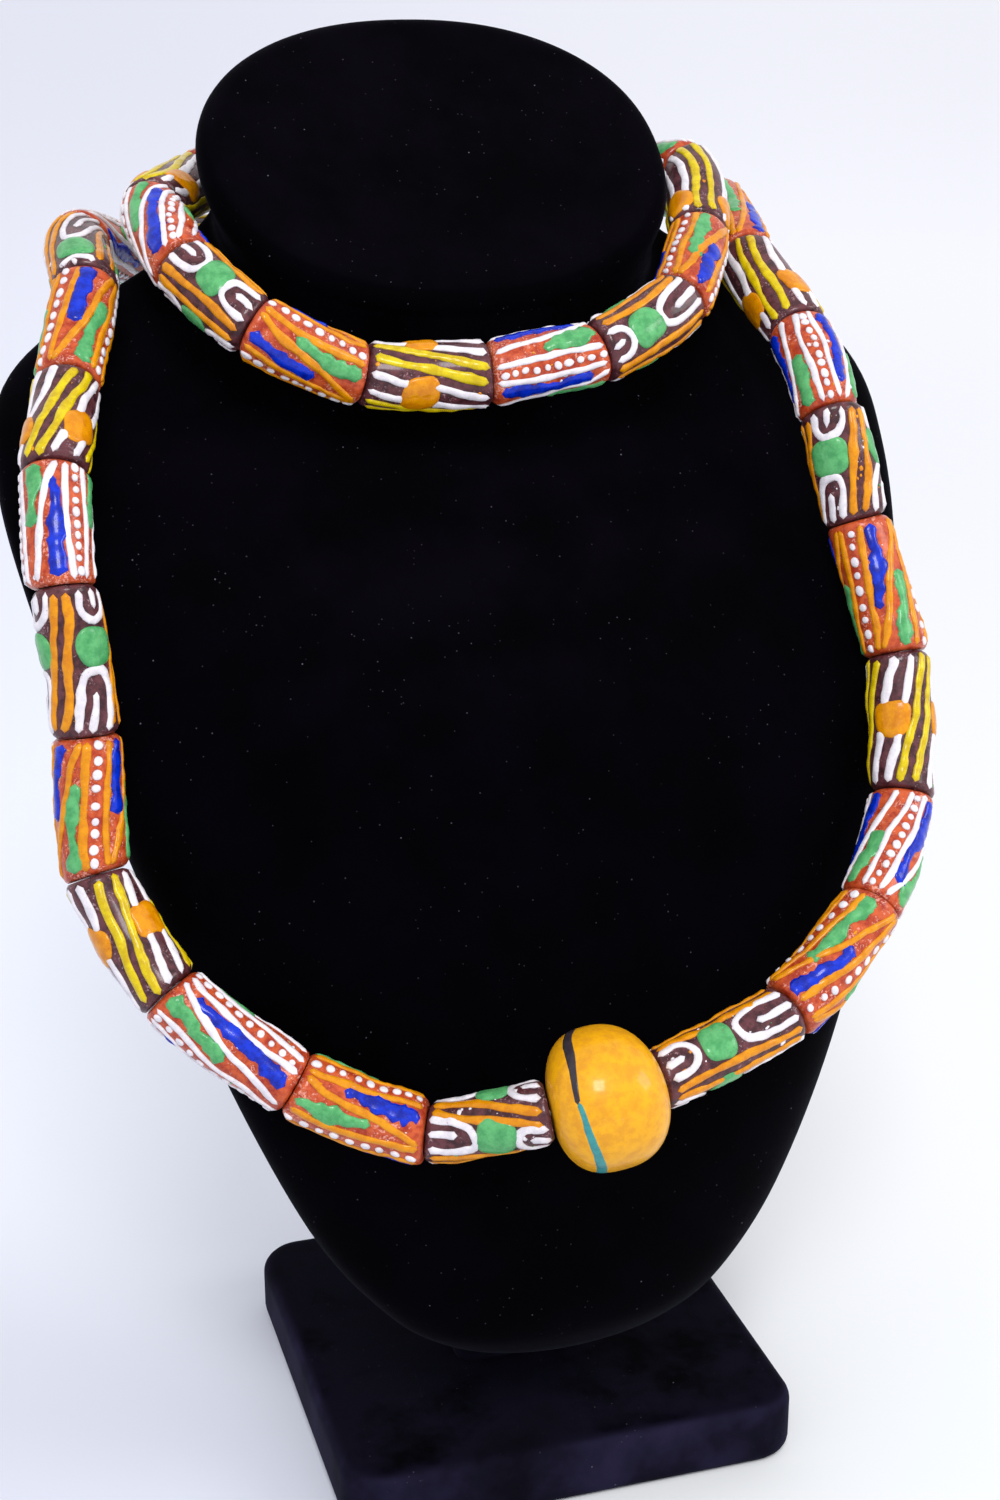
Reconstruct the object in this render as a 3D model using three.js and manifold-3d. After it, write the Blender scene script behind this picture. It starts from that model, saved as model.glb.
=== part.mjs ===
// Beaded necklace, one long loop wound twice round a plain neck bust.
// Millimetres, +Z up. The bust faces -Y and +X is on its right in a front view.
// The origin is the middle of the base's flat underside.
import * as THREE from 'three';
import { mergeVertices } from 'three/addons/utils/BufferGeometryUtils.js';
import Module from 'manifold-3d';

// Driving dimensions

// gap kept between pieces that touch on the real object
const touchGap = 0.3;

// square pad under the bust
const base = { width: 107, depth: 102, height: 16, cornerRadius: 10, edgeRound: 4, footRound: 3 };

// post behind the chest, from the base up into the back of the bust
const post = { width: 30, depth: 18, frontY: -14, reach: 138 };

// neck bust, from the tip of the chest up and back to the slanted top of the neck
const bust = {
  tipHeight: 33.3, height: 249.5, tipY: -36.5, lean: 91, offsetX: -2.4,
  halfWidth: 103, frontDepth: 42, rearDepth: 42.3, topTilt: 43, rimRound: 4.2,
};

// hand-made tube beads and the one round bead
const tubeBead = { radius: 6.9, bore: 1.5 };
const roundBead = { radius: 14.8, bore: 1.5 };

// how far a tube bead follows the bend of the string, from 0 straight to 1 fully curved
const beadCurl = 0.45;

// thread that carries the beads
const threadRadius = 0.6;

// places where one bead ends and the next begins, from the round bead's left end and round
const route = [
  [-15, -70.5, 111.3], [-37.5, -59.5, 104.5], [-62.5, -51.5, 115.5], [-85, -39, 133],
  [-96, -24.5, 154], [-95.5, -16, 181], [-97.5, -11, 210.5], [-96.5, 2.5, 230.5],
  [-90.5, 22.5, 244.5], [-83.5, 40.5, 261], [-81.5, 66.5, 267.5], [-67, 89, 261.5],
  [-38, 92, 263.5], [-9, 91, 266], [20, 89.5, 270], [46.5, 80, 274],
  [60, 59, 279.5], [54.5, 37, 267.5], [43, 17.5, 256.5], [21, 9.5, 247.5],
  [-3, 11, 244], [-29.5, 15.5, 244.5], [-52.5, 15.5, 255.5], [-63.5, 32.5, 266],
  [-66.5, 55, 275.5], [-51.5, 79, 278.5], [-25.5, 91, 285], [3.5, 95, 289.5],
  [32, 101, 285.5], [57, 96, 276], [72.5, 73, 270], [69, 44, 261],
  [72.5, 20, 248], [72, 0.5, 233], [76.5, -6.5, 210], [81, -20.5, 183],
  [77.5, -33.5, 155], [63, -50.5, 138], [40, -61.5, 121.5], [8.2, -68.7, 113.6],
];

// painted kinds of the tube beads in the order of the route
const beadKinds = 'CDBADCBADCBADCDBADCBADCBADCABCDABCDABDC'.split('');

// thinner beads by their place on the route, as shares of the tube beads' radius
const thinBeads = { 0: 0.9, 5: 0.94, 38: 0.92 };

// Materials

const velvet = new THREE.MeshStandardMaterial({ color: 0x08060e, roughness: 0.95, metalness: 0 });
const amber = new THREE.MeshStandardMaterial({ color: 0xd9981f, roughness: 0.45, metalness: 0 });
const cotton = new THREE.MeshStandardMaterial({ color: 0xe6e0d2, roughness: 0.9, metalness: 0 });
const groundColours = { A: 0x64413f, B: 0xcd553c, C: 0x6b4a44, D: 0xd2603a };

function groundMaterial(kind) {
  return new THREE.MeshStandardMaterial({ color: groundColours[kind], roughness: 0.5, metalness: 0 });
}

// Skins: closed surfaces through rings of points

function signedVolume(points, faces) {
  let sum = 0;
  for (const [a, b, c] of faces) {
    sum += points[a].dot(new THREE.Vector3().crossVectors(points[b], points[c]));
  }
  return sum / 6;
}

// Joins rings of equal point counts. An endless skin joins its last ring to its first,
// and any other skin gets a fan of triangles over each end.
function skin(rings, endless) {
  const around = rings[0].length;
  const points = rings.flat();
  const faces = [];
  const bands = endless ? rings.length : rings.length - 1;
  for (let i = 0; i < bands; i += 1) {
    const here = i * around;
    const next = ((i + 1) % rings.length) * around;
    for (let j = 0; j < around; j += 1) {
      const k = (j + 1) % around;
      faces.push([here + j, here + k, next + k], [here + j, next + k, next + j]);
    }
  }
  if (!endless) {
    const last = (rings.length - 1) * around;
    points.push(middle(rings[0]), middle(rings[rings.length - 1]));
    for (let j = 0; j < around; j += 1) {
      const k = (j + 1) % around;
      faces.push([points.length - 2, k, j], [points.length - 1, last + j, last + k]);
    }
  }
  if (signedVolume(points, faces) < 0) {
    faces.forEach((face) => face.reverse());
  }
  const geometry = new THREE.BufferGeometry();
  const flat = points.flatMap((point) => point.toArray());
  geometry.setAttribute('position', new THREE.Float32BufferAttribute(flat, 3));
  geometry.setIndex(faces.flat());
  return geometry;
}

function middle(ring) {
  const sum = new THREE.Vector3();
  ring.forEach((point) => sum.add(point));
  return sum.divideScalar(ring.length);
}

// Neck bust

// Sections from the tip of the chest to the neck's top. Each length is a share of a named size:
// up of height, back of lean, half of halfWidth, front and rear of the two depths, tilt of topTilt.
// power squares the section's outline, where 2 is an ellipse.
const bustSections = [
  { up: 0, back: 0, half: 0.03, front: 0.05, rear: 0.05, tilt: 0, power: 2 },
  { up: 0.009, back: -0.011, half: 0.155, front: 0.13, rear: 0.106, tilt: 0, power: 2 },
  { up: 0.031, back: -0.027, half: 0.272, front: 0.238, rear: 0.165, tilt: 0, power: 2 },
  { up: 0.067, back: -0.027, half: 0.381, front: 0.345, rear: 0.213, tilt: 0, power: 2 },
  { up: 0.139, back: 0.016, half: 0.517, front: 0.476, rear: 0.26, tilt: 0, power: 2 },
  { up: 0.263, back: 0.082, half: 0.656, front: 0.619, rear: 0.307, tilt: 0, power: 2 },
  { up: 0.408, back: 0.187, half: 0.78, front: 0.714, rear: 0.402, tilt: 0, power: 2 },
  { up: 0.556, back: 0.385, half: 0.893, front: 0.786, rear: 0.544, tilt: 0.05, power: 2 },
  { up: 0.668, back: 0.61, half: 0.969, front: 0.81, rear: 0.709, tilt: 0.19, power: 2.05 },
  { up: 0.752, back: 0.786, half: 1, front: 0.833, rear: 0.816, tilt: 0.4, power: 2.1 },
  { up: 0.816, back: 0.901, half: 0.971, front: 0.905, rear: 0.745, tilt: 0.6, power: 2.15 },
  { up: 0.8625, back: 0.9615, half: 0.825, front: 0.952, rear: 0.615, tilt: 0.77, power: 2.1 },
  { up: 0.8986, back: 0.989, half: 0.612, front: 0.976, rear: 0.768, tilt: 0.88, power: 2 },
  { up: 0.933, back: 1, half: 0.505, front: 0.964, rear: 0.863, tilt: 0.95, power: 2.05 },
  { up: 0.969, back: 1, half: 0.495, front: 0.976, rear: 0.922, tilt: 0.98, power: 2.15 },
  { up: 1, back: 0.995, half: 0.52, front: 1, rear: 1, tilt: 1, power: 2.2 },
];
const sectionsPerRow = 2;
const bustSides = 40;

// rounded rim of the neck's top: rise along the top's normal and inset, as shares of rimRound
const rimSteps = [
  { rise: 0.4, inset: 0.08 }, { rise: 0.75, inset: 0.33 }, { rise: 1, inset: 1 },
];

// Smooth value of one column between two rows, by a Catmull-Rom curve.
function columnAt(rows, column, place) {
  const row = Math.min(Math.floor(place), rows.length - 2);
  const t = place - row;
  const a = rows[Math.max(row - 1, 0)][column];
  const b = rows[row][column];
  const c = rows[row + 1][column];
  const d = rows[Math.min(row + 2, rows.length - 1)][column];
  const cubic = (3 * (b - c) + d - a) * t * t * t;
  return 0.5 * (2 * b + (c - a) * t + (2 * a - 5 * b + 4 * c - d) * t * t + cubic);
}

function bustSectionAt(place) {
  const value = (column) => columnAt(bustSections, column, place);
  return {
    y: bust.tipY + value('back') * bust.lean,
    z: bust.tipHeight + value('up') * bust.height,
    half: value('half') * bust.halfWidth,
    front: value('front') * bust.frontDepth,
    rear: value('rear') * bust.rearDepth,
    tilt: THREE.MathUtils.degToRad(value('tilt') * bust.topTilt),
    power: value('power'),
  };
}

function roundedPower(value, power) {
  return Math.sign(value) * Math.abs(value) ** (2 / power);
}

function sectionRing(section) {
  const ring = [];
  for (let i = 0; i < bustSides; i += 1) {
    const angle = (2 * Math.PI * i) / bustSides;
    const across = section.half * roundedPower(Math.cos(angle), section.power);
    const reach = Math.sin(angle) < 0 ? section.front : section.rear;
    const along = reach * roundedPower(Math.sin(angle), section.power);
    const y = section.y + along * Math.cos(section.tilt);
    const z = section.z + along * Math.sin(section.tilt);
    ring.push(new THREE.Vector3(bust.offsetX + across, y, z));
  }
  return ring;
}

function rimSection(step) {
  const top = bustSectionAt(bustSections.length - 1);
  const rise = step.rise * bust.rimRound;
  const inset = step.inset * bust.rimRound;
  return {
    ...top,
    y: top.y - rise * Math.sin(top.tilt),
    z: top.z + rise * Math.cos(top.tilt),
    half: top.half - inset,
    front: top.front - inset,
    rear: top.rear - inset,
  };
}

function bustGeometry() {
  const rings = [];
  const count = (bustSections.length - 1) * sectionsPerRow;
  for (let i = 0; i <= count; i += 1) {
    rings.push(sectionRing(bustSectionAt(i / sectionsPerRow)));
  }
  rimSteps.forEach((step) => rings.push(sectionRing(rimSection(step))));
  return skin(rings, false);
}

// Base pad

const cornerSteps = 5;

function padRing(inset, height) {
  const radius = base.cornerRadius - inset;
  const halfWidth = base.width / 2 - inset - radius;
  const halfDepth = base.depth / 2 - inset - radius;
  const corners = [[1, 1], [-1, 1], [-1, -1], [1, -1]];
  return corners.flatMap(([sideX, sideY], corner) => {
    const arc = [];
    for (let i = 0; i <= cornerSteps; i += 1) {
      const angle = (Math.PI / 2) * (corner + i / cornerSteps);
      const x = sideX * halfWidth + radius * Math.cos(angle);
      const y = sideY * halfDepth + radius * Math.sin(angle);
      arc.push(new THREE.Vector3(x, y, height));
    }
    return arc;
  });
}

function baseGeometry() {
  const diagonal = 1 - Math.SQRT1_2;
  const foot = base.footRound;
  const edge = base.edgeRound;
  const rings = [
    padRing(foot, 0),
    padRing(diagonal * foot, diagonal * foot),
    padRing(0, foot),
    padRing(0, base.height - edge),
    padRing(diagonal * edge, base.height - diagonal * edge),
    padRing(edge, base.height),
  ];
  return skin(rings, false);
}

// Post, cut to the back of the bust

const wasm = await Module();
wasm.setup();

// points closer than this become one
const weldDistance = 1e-4;

function toSolid(geometry) {
  const plain = geometry.clone();
  plain.deleteAttribute('normal');
  plain.deleteAttribute('uv');
  const merged = mergeVertices(plain, weldDistance);
  return new wasm.Manifold(new wasm.Mesh({
    numProp: 3,
    vertProperties: new Float32Array(merged.attributes.position.array),
    triVerts: new Uint32Array(merged.index.array),
  }));
}

function toGeometry(solid) {
  const mesh = solid.getMesh();
  const geometry = new THREE.BufferGeometry();
  geometry.setAttribute('position', new THREE.Float32BufferAttribute(mesh.vertProperties, 3));
  geometry.setIndex(Array.from(mesh.triVerts));
  return geometry;
}

// The box reaches into the bust, and the bust moved back by the gap cuts its top away.
function postGeometry(bustShape) {
  const foot = base.height + touchGap;
  const box = new THREE.BoxGeometry(post.width, post.depth, post.reach);
  box.translate(bust.offsetX, post.frontY + post.depth / 2, foot + post.reach / 2);
  const clear = bustShape.clone().translate(0, touchGap, -touchGap);
  return toGeometry(toSolid(box).subtract(toSolid(clear)));
}

// String of beads

const stops = route.map((place) => new THREE.Vector3(...place));

function stopAt(index) {
  return stops[(index + stops.length) % stops.length];
}

function directionFrom(index) {
  return stopAt(index + 1).clone().sub(stopAt(index)).normalize();
}

// direction of the string at a stop, halfway between the beads on its two sides
function directionAt(index) {
  return directionFrom(index - 1).add(directionFrom(index)).normalize();
}

// Centre and direction of bead number index at a share t of its length.
function stationOf(index, t, curl) {
  const from = stopAt(index);
  const to = stopAt(index + 1);
  const length = from.distanceTo(to);
  const startTurn = directionAt(index).sub(directionFrom(index)).multiplyScalar(length);
  const endTurn = directionAt(index + 1).sub(directionFrom(index)).multiplyScalar(length);
  const centre = from.clone().lerp(to, t);
  centre.addScaledVector(startTurn, curl * t * (1 - t) ** 2);
  centre.addScaledVector(endTurn, -curl * t * t * (1 - t));
  const direction = directionFrom(index);
  direction.addScaledVector(startTurn, (1 - t) ** 3 / length);
  direction.addScaledVector(endTurn, t ** 3 / length);
  return { centre, direction: direction.normalize() };
}

// The way out of the chest. Rings are laid out from it so that their points line up.
const outward = new THREE.Vector3(0, -0.94, 0.34);

// A circle of points square to a direction.
function ringAt(centre, direction, radius, sides) {
  const side = new THREE.Vector3().crossVectors(direction, outward).normalize();
  const up = new THREE.Vector3().crossVectors(side, direction);
  const ring = [];
  for (let i = 0; i < sides; i += 1) {
    const angle = (2 * Math.PI * i) / sides;
    const point = centre.clone().addScaledVector(side, radius * Math.cos(angle));
    ring.push(point.addScaledVector(up, radius * Math.sin(angle)));
  }
  return ring;
}

// Outlines of the two bead forms: at is a share of the length, wide a share of the radius.
const tubeOutline = [
  { at: 0, wide: 0.7 }, { at: 0.03, wide: 0.88 }, { at: 0.1, wide: 0.98 }, { at: 0.5, wide: 1 },
  { at: 0.9, wide: 0.98 }, { at: 0.97, wide: 0.88 }, { at: 1, wide: 0.7 },
];
const roundOutline = [
  { at: 0, wide: 0.36 }, { at: 0.03, wide: 0.54 }, { at: 0.1, wide: 0.73 }, { at: 0.22, wide: 0.89 },
  { at: 0.36, wide: 0.98 }, { at: 0.5, wide: 1 }, { at: 0.64, wide: 0.98 }, { at: 0.78, wide: 0.89 },
  { at: 0.9, wide: 0.73 }, { at: 0.97, wide: 0.54 }, { at: 1, wide: 0.36 },
];
const boreStations = [1, 0.5, 0];

// A bead is one endless skin: along the outside, and back through the bore.
function beadGeometry(index, size, outline, curl, sides) {
  const inset = touchGap / 2 / stopAt(index).distanceTo(stopAt(index + 1));
  const ringFor = (at, radius) => {
    const station = stationOf(index, inset + at * (1 - 2 * inset), curl);
    return ringAt(station.centre, station.direction, radius, sides);
  };
  const outside = outline.map((row) => ringFor(row.at, row.wide * size.radius));
  const inside = boreStations.map((at) => ringFor(at, size.bore));
  return skin([...outside, ...inside], true);
}

const threadSides = 6;
const threadStations = [0, 0.5];

function threadGeometry() {
  const rings = stops.flatMap((stop, index) => threadStations.map((t) => {
    const curl = index === stops.length - 1 ? 0 : beadCurl;
    const station = stationOf(index, t, curl);
    return ringAt(station.centre, station.direction, threadRadius, threadSides);
  }));
  return skin(rings, true);
}

// Assembly

const tubeSides = 12;
const roundSides = 18;

const necklaceOnBust = new THREE.Group();

function addPiece(name, geometry, material) {
  const mesh = new THREE.Mesh(geometry, material);
  mesh.name = name;
  necklaceOnBust.add(mesh);
}

const bustShape = bustGeometry();
addPiece('base', baseGeometry(), velvet);
addPiece('post', postGeometry(bustShape), velvet);
addPiece('bust', bustShape, velvet);
addPiece('thread', threadGeometry(), cotton);

beadKinds.forEach((kind, index) => {
  const name = `tube_bead_${String(index + 1).padStart(2, '0')}`;
  const size = { ...tubeBead, radius: tubeBead.radius * (thinBeads[index] ?? 1) };
  const geometry = beadGeometry(index, size, tubeOutline, beadCurl, tubeSides);
  addPiece(name, geometry, groundMaterial(kind));
});

const roundIndex = stops.length - 1;
addPiece('round_bead', beadGeometry(roundIndex, roundBead, roundOutline, 0, roundSides), amber);

export default necklaceOnBust;
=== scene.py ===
"""Looks of a beaded necklace on its velvet neck bust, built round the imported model."""
import logging
import math
from dataclasses import dataclass, field
from enum import Enum

import bpy
import numpy as np
from mathutils import Matrix, Vector


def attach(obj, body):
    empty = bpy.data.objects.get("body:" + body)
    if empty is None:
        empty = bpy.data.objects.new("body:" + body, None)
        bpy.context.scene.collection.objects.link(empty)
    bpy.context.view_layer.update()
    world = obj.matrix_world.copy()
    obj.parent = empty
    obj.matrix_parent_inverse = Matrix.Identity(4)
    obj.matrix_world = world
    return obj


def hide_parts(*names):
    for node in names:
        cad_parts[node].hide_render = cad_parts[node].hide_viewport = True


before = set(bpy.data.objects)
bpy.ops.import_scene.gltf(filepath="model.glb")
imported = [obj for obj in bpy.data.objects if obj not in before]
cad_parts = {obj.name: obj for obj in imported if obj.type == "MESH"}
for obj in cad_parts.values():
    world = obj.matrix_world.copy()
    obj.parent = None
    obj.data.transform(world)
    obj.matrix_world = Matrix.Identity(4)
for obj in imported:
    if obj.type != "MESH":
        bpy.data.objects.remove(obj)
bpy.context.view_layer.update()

LOG = logging.getLogger("necklace")
MM = 0.001
PHASES = 6.28  # radians that the bumps round a mound of paint start in

# stops between the beads in millimetres, from the round bead's left end and round
ROUTE = [
    (-15, -70.5, 111.3), (-37.5, -59.5, 104.5), (-62.5, -51.5, 115.5), (-85, -39, 133),
    (-96, -24.5, 154), (-95.5, -16, 181), (-97.5, -11, 210.5), (-96.5, 2.5, 230.5),
    (-90.5, 22.5, 244.5), (-83.5, 40.5, 261), (-81.5, 66.5, 267.5), (-67, 89, 261.5),
    (-38, 92, 263.5), (-9, 91, 266), (20, 89.5, 270), (46.5, 80, 274),
    (60, 59, 279.5), (54.5, 37, 267.5), (43, 17.5, 256.5), (21, 9.5, 247.5),
    (-3, 11, 244), (-29.5, 15.5, 244.5), (-52.5, 15.5, 255.5), (-63.5, 32.5, 266),
    (-66.5, 55, 275.5), (-51.5, 79, 278.5), (-25.5, 91, 285), (3.5, 95, 289.5),
    (32, 101, 285.5), (57, 96, 276), (72.5, 73, 270), (69, 44, 261),
    (72.5, 20, 248), (72, 0.5, 233), (76.5, -6.5, 210), (81, -20.5, 183),
    (77.5, -33.5, 155), (63, -50.5, 138), (40, -61.5, 121.5), (8.2, -68.7, 113.6),
]


def srgb(red: int, green: int, blue: int) -> tuple[float, float, float, float]:
    """Turns a colour of 0 to 255 a channel into the linear colour that shaders use.

    Args:
        red: red channel.
        green: green channel.
        blue: blue channel.

    Returns:
        Linear red, green, blue and a full alpha.
    """
    def linear(value: int) -> float:
        """One channel from display to linear."""
        share = value / 255
        return share / 12.92 if share <= 0.04045 else ((share + 0.055) / 1.055) ** 2.4

    return linear(red), linear(green), linear(blue), 1.0


def spline(a: np.ndarray, b: np.ndarray, c: np.ndarray, d: np.ndarray, t: np.ndarray | float) -> np.ndarray:
    """Smooth curve from b to c, with a before it and d after it.

    Args:
        a: point before the stretch.
        b: its start.
        c: its end.
        d: point after it.
        t: shares of the way from b to c.

    Returns:
        The points at those shares.
    """
    return 0.5 * (2 * b + (c - a) * t + (2 * a - 5 * b + 4 * c - d) * t ** 2
                  + (3 * (b - c) + d - a) * t ** 3)


# Camera


@dataclass
class StudioCamera:
    """The camera at the photograph's place.

    Args:
        target: point it looks at, in millimetres.
        distance: from the target, in millimetres.
        azimuth: degrees round the object, 0 looking along +Y.
        elevation: degrees above the horizon.
        lens: focal length in millimetres.
        sensor: long side of the sensor in millimetres.
    """

    target: tuple[float, float, float] = (-5.5, -5.5, 164.6)
    distance: float = 501.2
    azimuth: float = -17.0
    elevation: float = 20.0
    lens: float = 55.2
    sensor: float = 36

    def back(self) -> Vector:
        """Direction from the target to the camera."""
        turn, rise = math.radians(self.azimuth), math.radians(self.elevation)
        return Vector((math.sin(turn) * math.cos(rise), -math.cos(turn) * math.cos(rise), math.sin(rise)))

    def place(self) -> Vector:
        """Position of the camera in millimetres."""
        return Vector(self.target) + self.back() * self.distance

    def build(self) -> bpy.types.Object:
        """Makes the camera and gives it to the scene.

        Returns:
            The camera object.
        """
        data = bpy.data.cameras.new("studio_camera")
        data.lens = self.lens
        data.sensor_width = self.sensor
        data.clip_start, data.clip_end = 0.01, 100
        camera = bpy.data.objects.new("studio_camera", data)
        bpy.context.collection.objects.link(camera)
        turn = math.radians(self.azimuth)
        back = self.back()
        right = Vector((math.cos(turn), math.sin(turn), 0))
        pose = Matrix((right, back.cross(right), back)).transposed().to_4x4()
        pose.translation = self.place() * MM
        camera.matrix_world = pose
        bpy.context.scene.camera = camera
        return camera


# Shader helpers


@dataclass(frozen=True)
class Cloud:
    """Grain of a noise pattern.

    Args:
        scale: noise cells per metre.
        detail: octaves.
        rough: strength of the finer octaves.
    """

    scale: float
    detail: float
    rough: float


class NodeSketch:
    """Short calls for building a node tree."""

    def __init__(self, tree: bpy.types.NodeTree) -> None:
        """Args:
            tree: node tree that the nodes go into.
        """
        self.tree = tree

    def add(self, kind: str, **settings: object) -> bpy.types.Node:
        """Adds a node.

        Args:
            kind: Blender's node type.
            settings: properties to set on it.

        Returns:
            The new node.
        """
        node = self.tree.nodes.new(kind)
        for name, value in settings.items():
            setattr(node, name, value)
        return node

    def join(self, start: bpy.types.NodeSocket, end: bpy.types.NodeSocket) -> None:
        """Links an output to an input."""
        self.tree.links.new(start, end)

    def feed(self, socket: bpy.types.NodeSocket, value: object) -> None:
        """Links a socket to another, or sets a plain value on it.

        Args:
            socket: input to feed.
            value: output socket, number or colour.
        """
        if isinstance(value, bpy.types.NodeSocket):
            self.join(value, socket)
        else:
            socket.default_value = value

    def noise(self, where: bpy.types.NodeSocket, cloud: Cloud) -> bpy.types.NodeSocket:
        """Adds a noise texture.

        Args:
            where: coordinates.
            cloud: its grain.

        Returns:
            The noise value, around 0.5.
        """
        node = self.add("ShaderNodeTexNoise")
        self.feed(node.inputs["Vector"], where)
        node.inputs["Scale"].default_value = cloud.scale
        node.inputs["Detail"].default_value = cloud.detail
        node.inputs["Roughness"].default_value = cloud.rough
        return node.outputs["Fac"]

    def spread(self, value: object, low: float, high: float, to_low: float = 0.0,
               to_high: float = 1.0) -> bpy.types.NodeSocket:
        """Maps a range of values smoothly onto another and clamps it.

        Args:
            value: input value.
            low: input that gives to_low.
            high: input that gives to_high.
            to_low: output at low.
            to_high: output at high.

        Returns:
            The mapped value.
        """
        node = self.add("ShaderNodeMapRange", interpolation_type="SMOOTHSTEP")
        for name, number in (("Value", value), ("From Min", low), ("From Max", high),
                             ("To Min", to_low), ("To Max", to_high)):
            self.feed(node.inputs[name], number)
        return node.outputs["Result"]

    def maths(self, operation: str, first: object, second: object = 0.0) -> bpy.types.NodeSocket:
        """Adds a math node.

        Args:
            operation: Blender's name of the sum.
            first: first number or socket.
            second: second number or socket.

        Returns:
            The result.
        """
        node = self.add("ShaderNodeMath", operation=operation)
        self.feed(node.inputs[0], first)
        self.feed(node.inputs[1], second)
        return node.outputs[0]

    def mix(self, share: object, first: object, second: object) -> bpy.types.NodeSocket:
        """Mixes two colours.

        Args:
            share: 0 gives the first colour and 1 the second.
            first: colour or socket.
            second: colour or socket.

        Returns:
            The mixed colour.
        """
        node = self.add("ShaderNodeMix", data_type="RGBA")
        self.feed(node.inputs["Factor"], share)
        self.feed(node.inputs["A"], first)
        self.feed(node.inputs["B"], second)
        return node.outputs["Result"]


def new_group(name: str, inputs: dict[str, float], outputs: dict[str, str]) -> tuple[
        bpy.types.NodeTree, NodeSketch, bpy.types.Node, bpy.types.Node]:
    """Starts a shader node group.

    Args:
        name: name of the group.
        inputs: number inputs and their usual values.
        outputs: output names and their socket types.

    Returns:
        The group, a sketch of it, and its input and output nodes.
    """
    tree = bpy.data.node_groups.new(name, "ShaderNodeTree")
    for key, value in inputs.items():
        socket = tree.interface.new_socket(key, in_out="INPUT", socket_type="NodeSocketFloat")
        socket.default_value = value
    for key, kind in outputs.items():
        tree.interface.new_socket(key, in_out="OUTPUT", socket_type=kind)
    sketch = NodeSketch(tree)
    return tree, sketch, sketch.add("NodeGroupInput"), sketch.add("NodeGroupOutput")


class Handling:
    """Wear, chalky pits and mottling of old moulded glass and its paint."""

    mottling = Cloud(420, 5, 0.68)
    mottled_band = (0.34, 0.64)
    pitting = Cloud(1900, 3, 0.7)
    pitted_patches = Cloud(230, 3, 0.6)
    patch_band = (0.36, 0.66)
    pit_limit, pit_drop = 0.74, 0.24
    scuffing = Cloud(520, 6, 0.76)
    scuff_limit, scuff_drop = 0.78, 0.25
    soft_edge = 0.03
    swelling = Cloud(620, 4, 0.6)
    pit_depth, grit_height = -0.6, 0.25

    def group(self) -> bpy.types.NodeTree:
        """Builds the group.

        Returns:
            A group with outputs Mottle, Pits, Scuffs and Height.
        """
        floats = dict.fromkeys(("Mottle", "Pits", "Scuffs", "Height"), "NodeSocketFloat")
        inputs = {"Pitting": 0.5, "Scuffing": 0.5}
        tree, sketch, entry, leave = new_group("glass_handling", inputs, floats)
        where = sketch.add("ShaderNodeTexCoord").outputs["Object"]
        mottle = sketch.spread(sketch.noise(where, self.mottling), *self.mottled_band)
        fine = sketch.noise(where, self.pitting)
        patches = sketch.spread(sketch.noise(where, self.pitted_patches), *self.patch_band)
        reach = sketch.maths("MULTIPLY", patches, entry.outputs["Pitting"])
        edge = sketch.maths("SUBTRACT", self.pit_limit, sketch.maths("MULTIPLY", reach, self.pit_drop))
        pits = sketch.spread(fine, edge, sketch.maths("ADD", edge, self.soft_edge))
        worn = sketch.noise(where, self.scuffing)
        drop = sketch.maths("MULTIPLY", entry.outputs["Scuffing"], self.scuff_drop)
        limit = sketch.maths("SUBTRACT", self.scuff_limit, drop)
        scuffs = sketch.spread(worn, limit, sketch.maths("ADD", limit, self.soft_edge))
        swell = sketch.noise(where, self.swelling)
        dented = sketch.maths("ADD", swell, sketch.maths("MULTIPLY", pits, self.pit_depth))
        height = sketch.maths("ADD", dented, sketch.maths("MULTIPLY", fine, self.grit_height))
        for key, value in (("Mottle", mottle), ("Pits", pits), ("Scuffs", scuffs), ("Height", height)):
            sketch.join(value, leave.inputs[key])
        return tree


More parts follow.
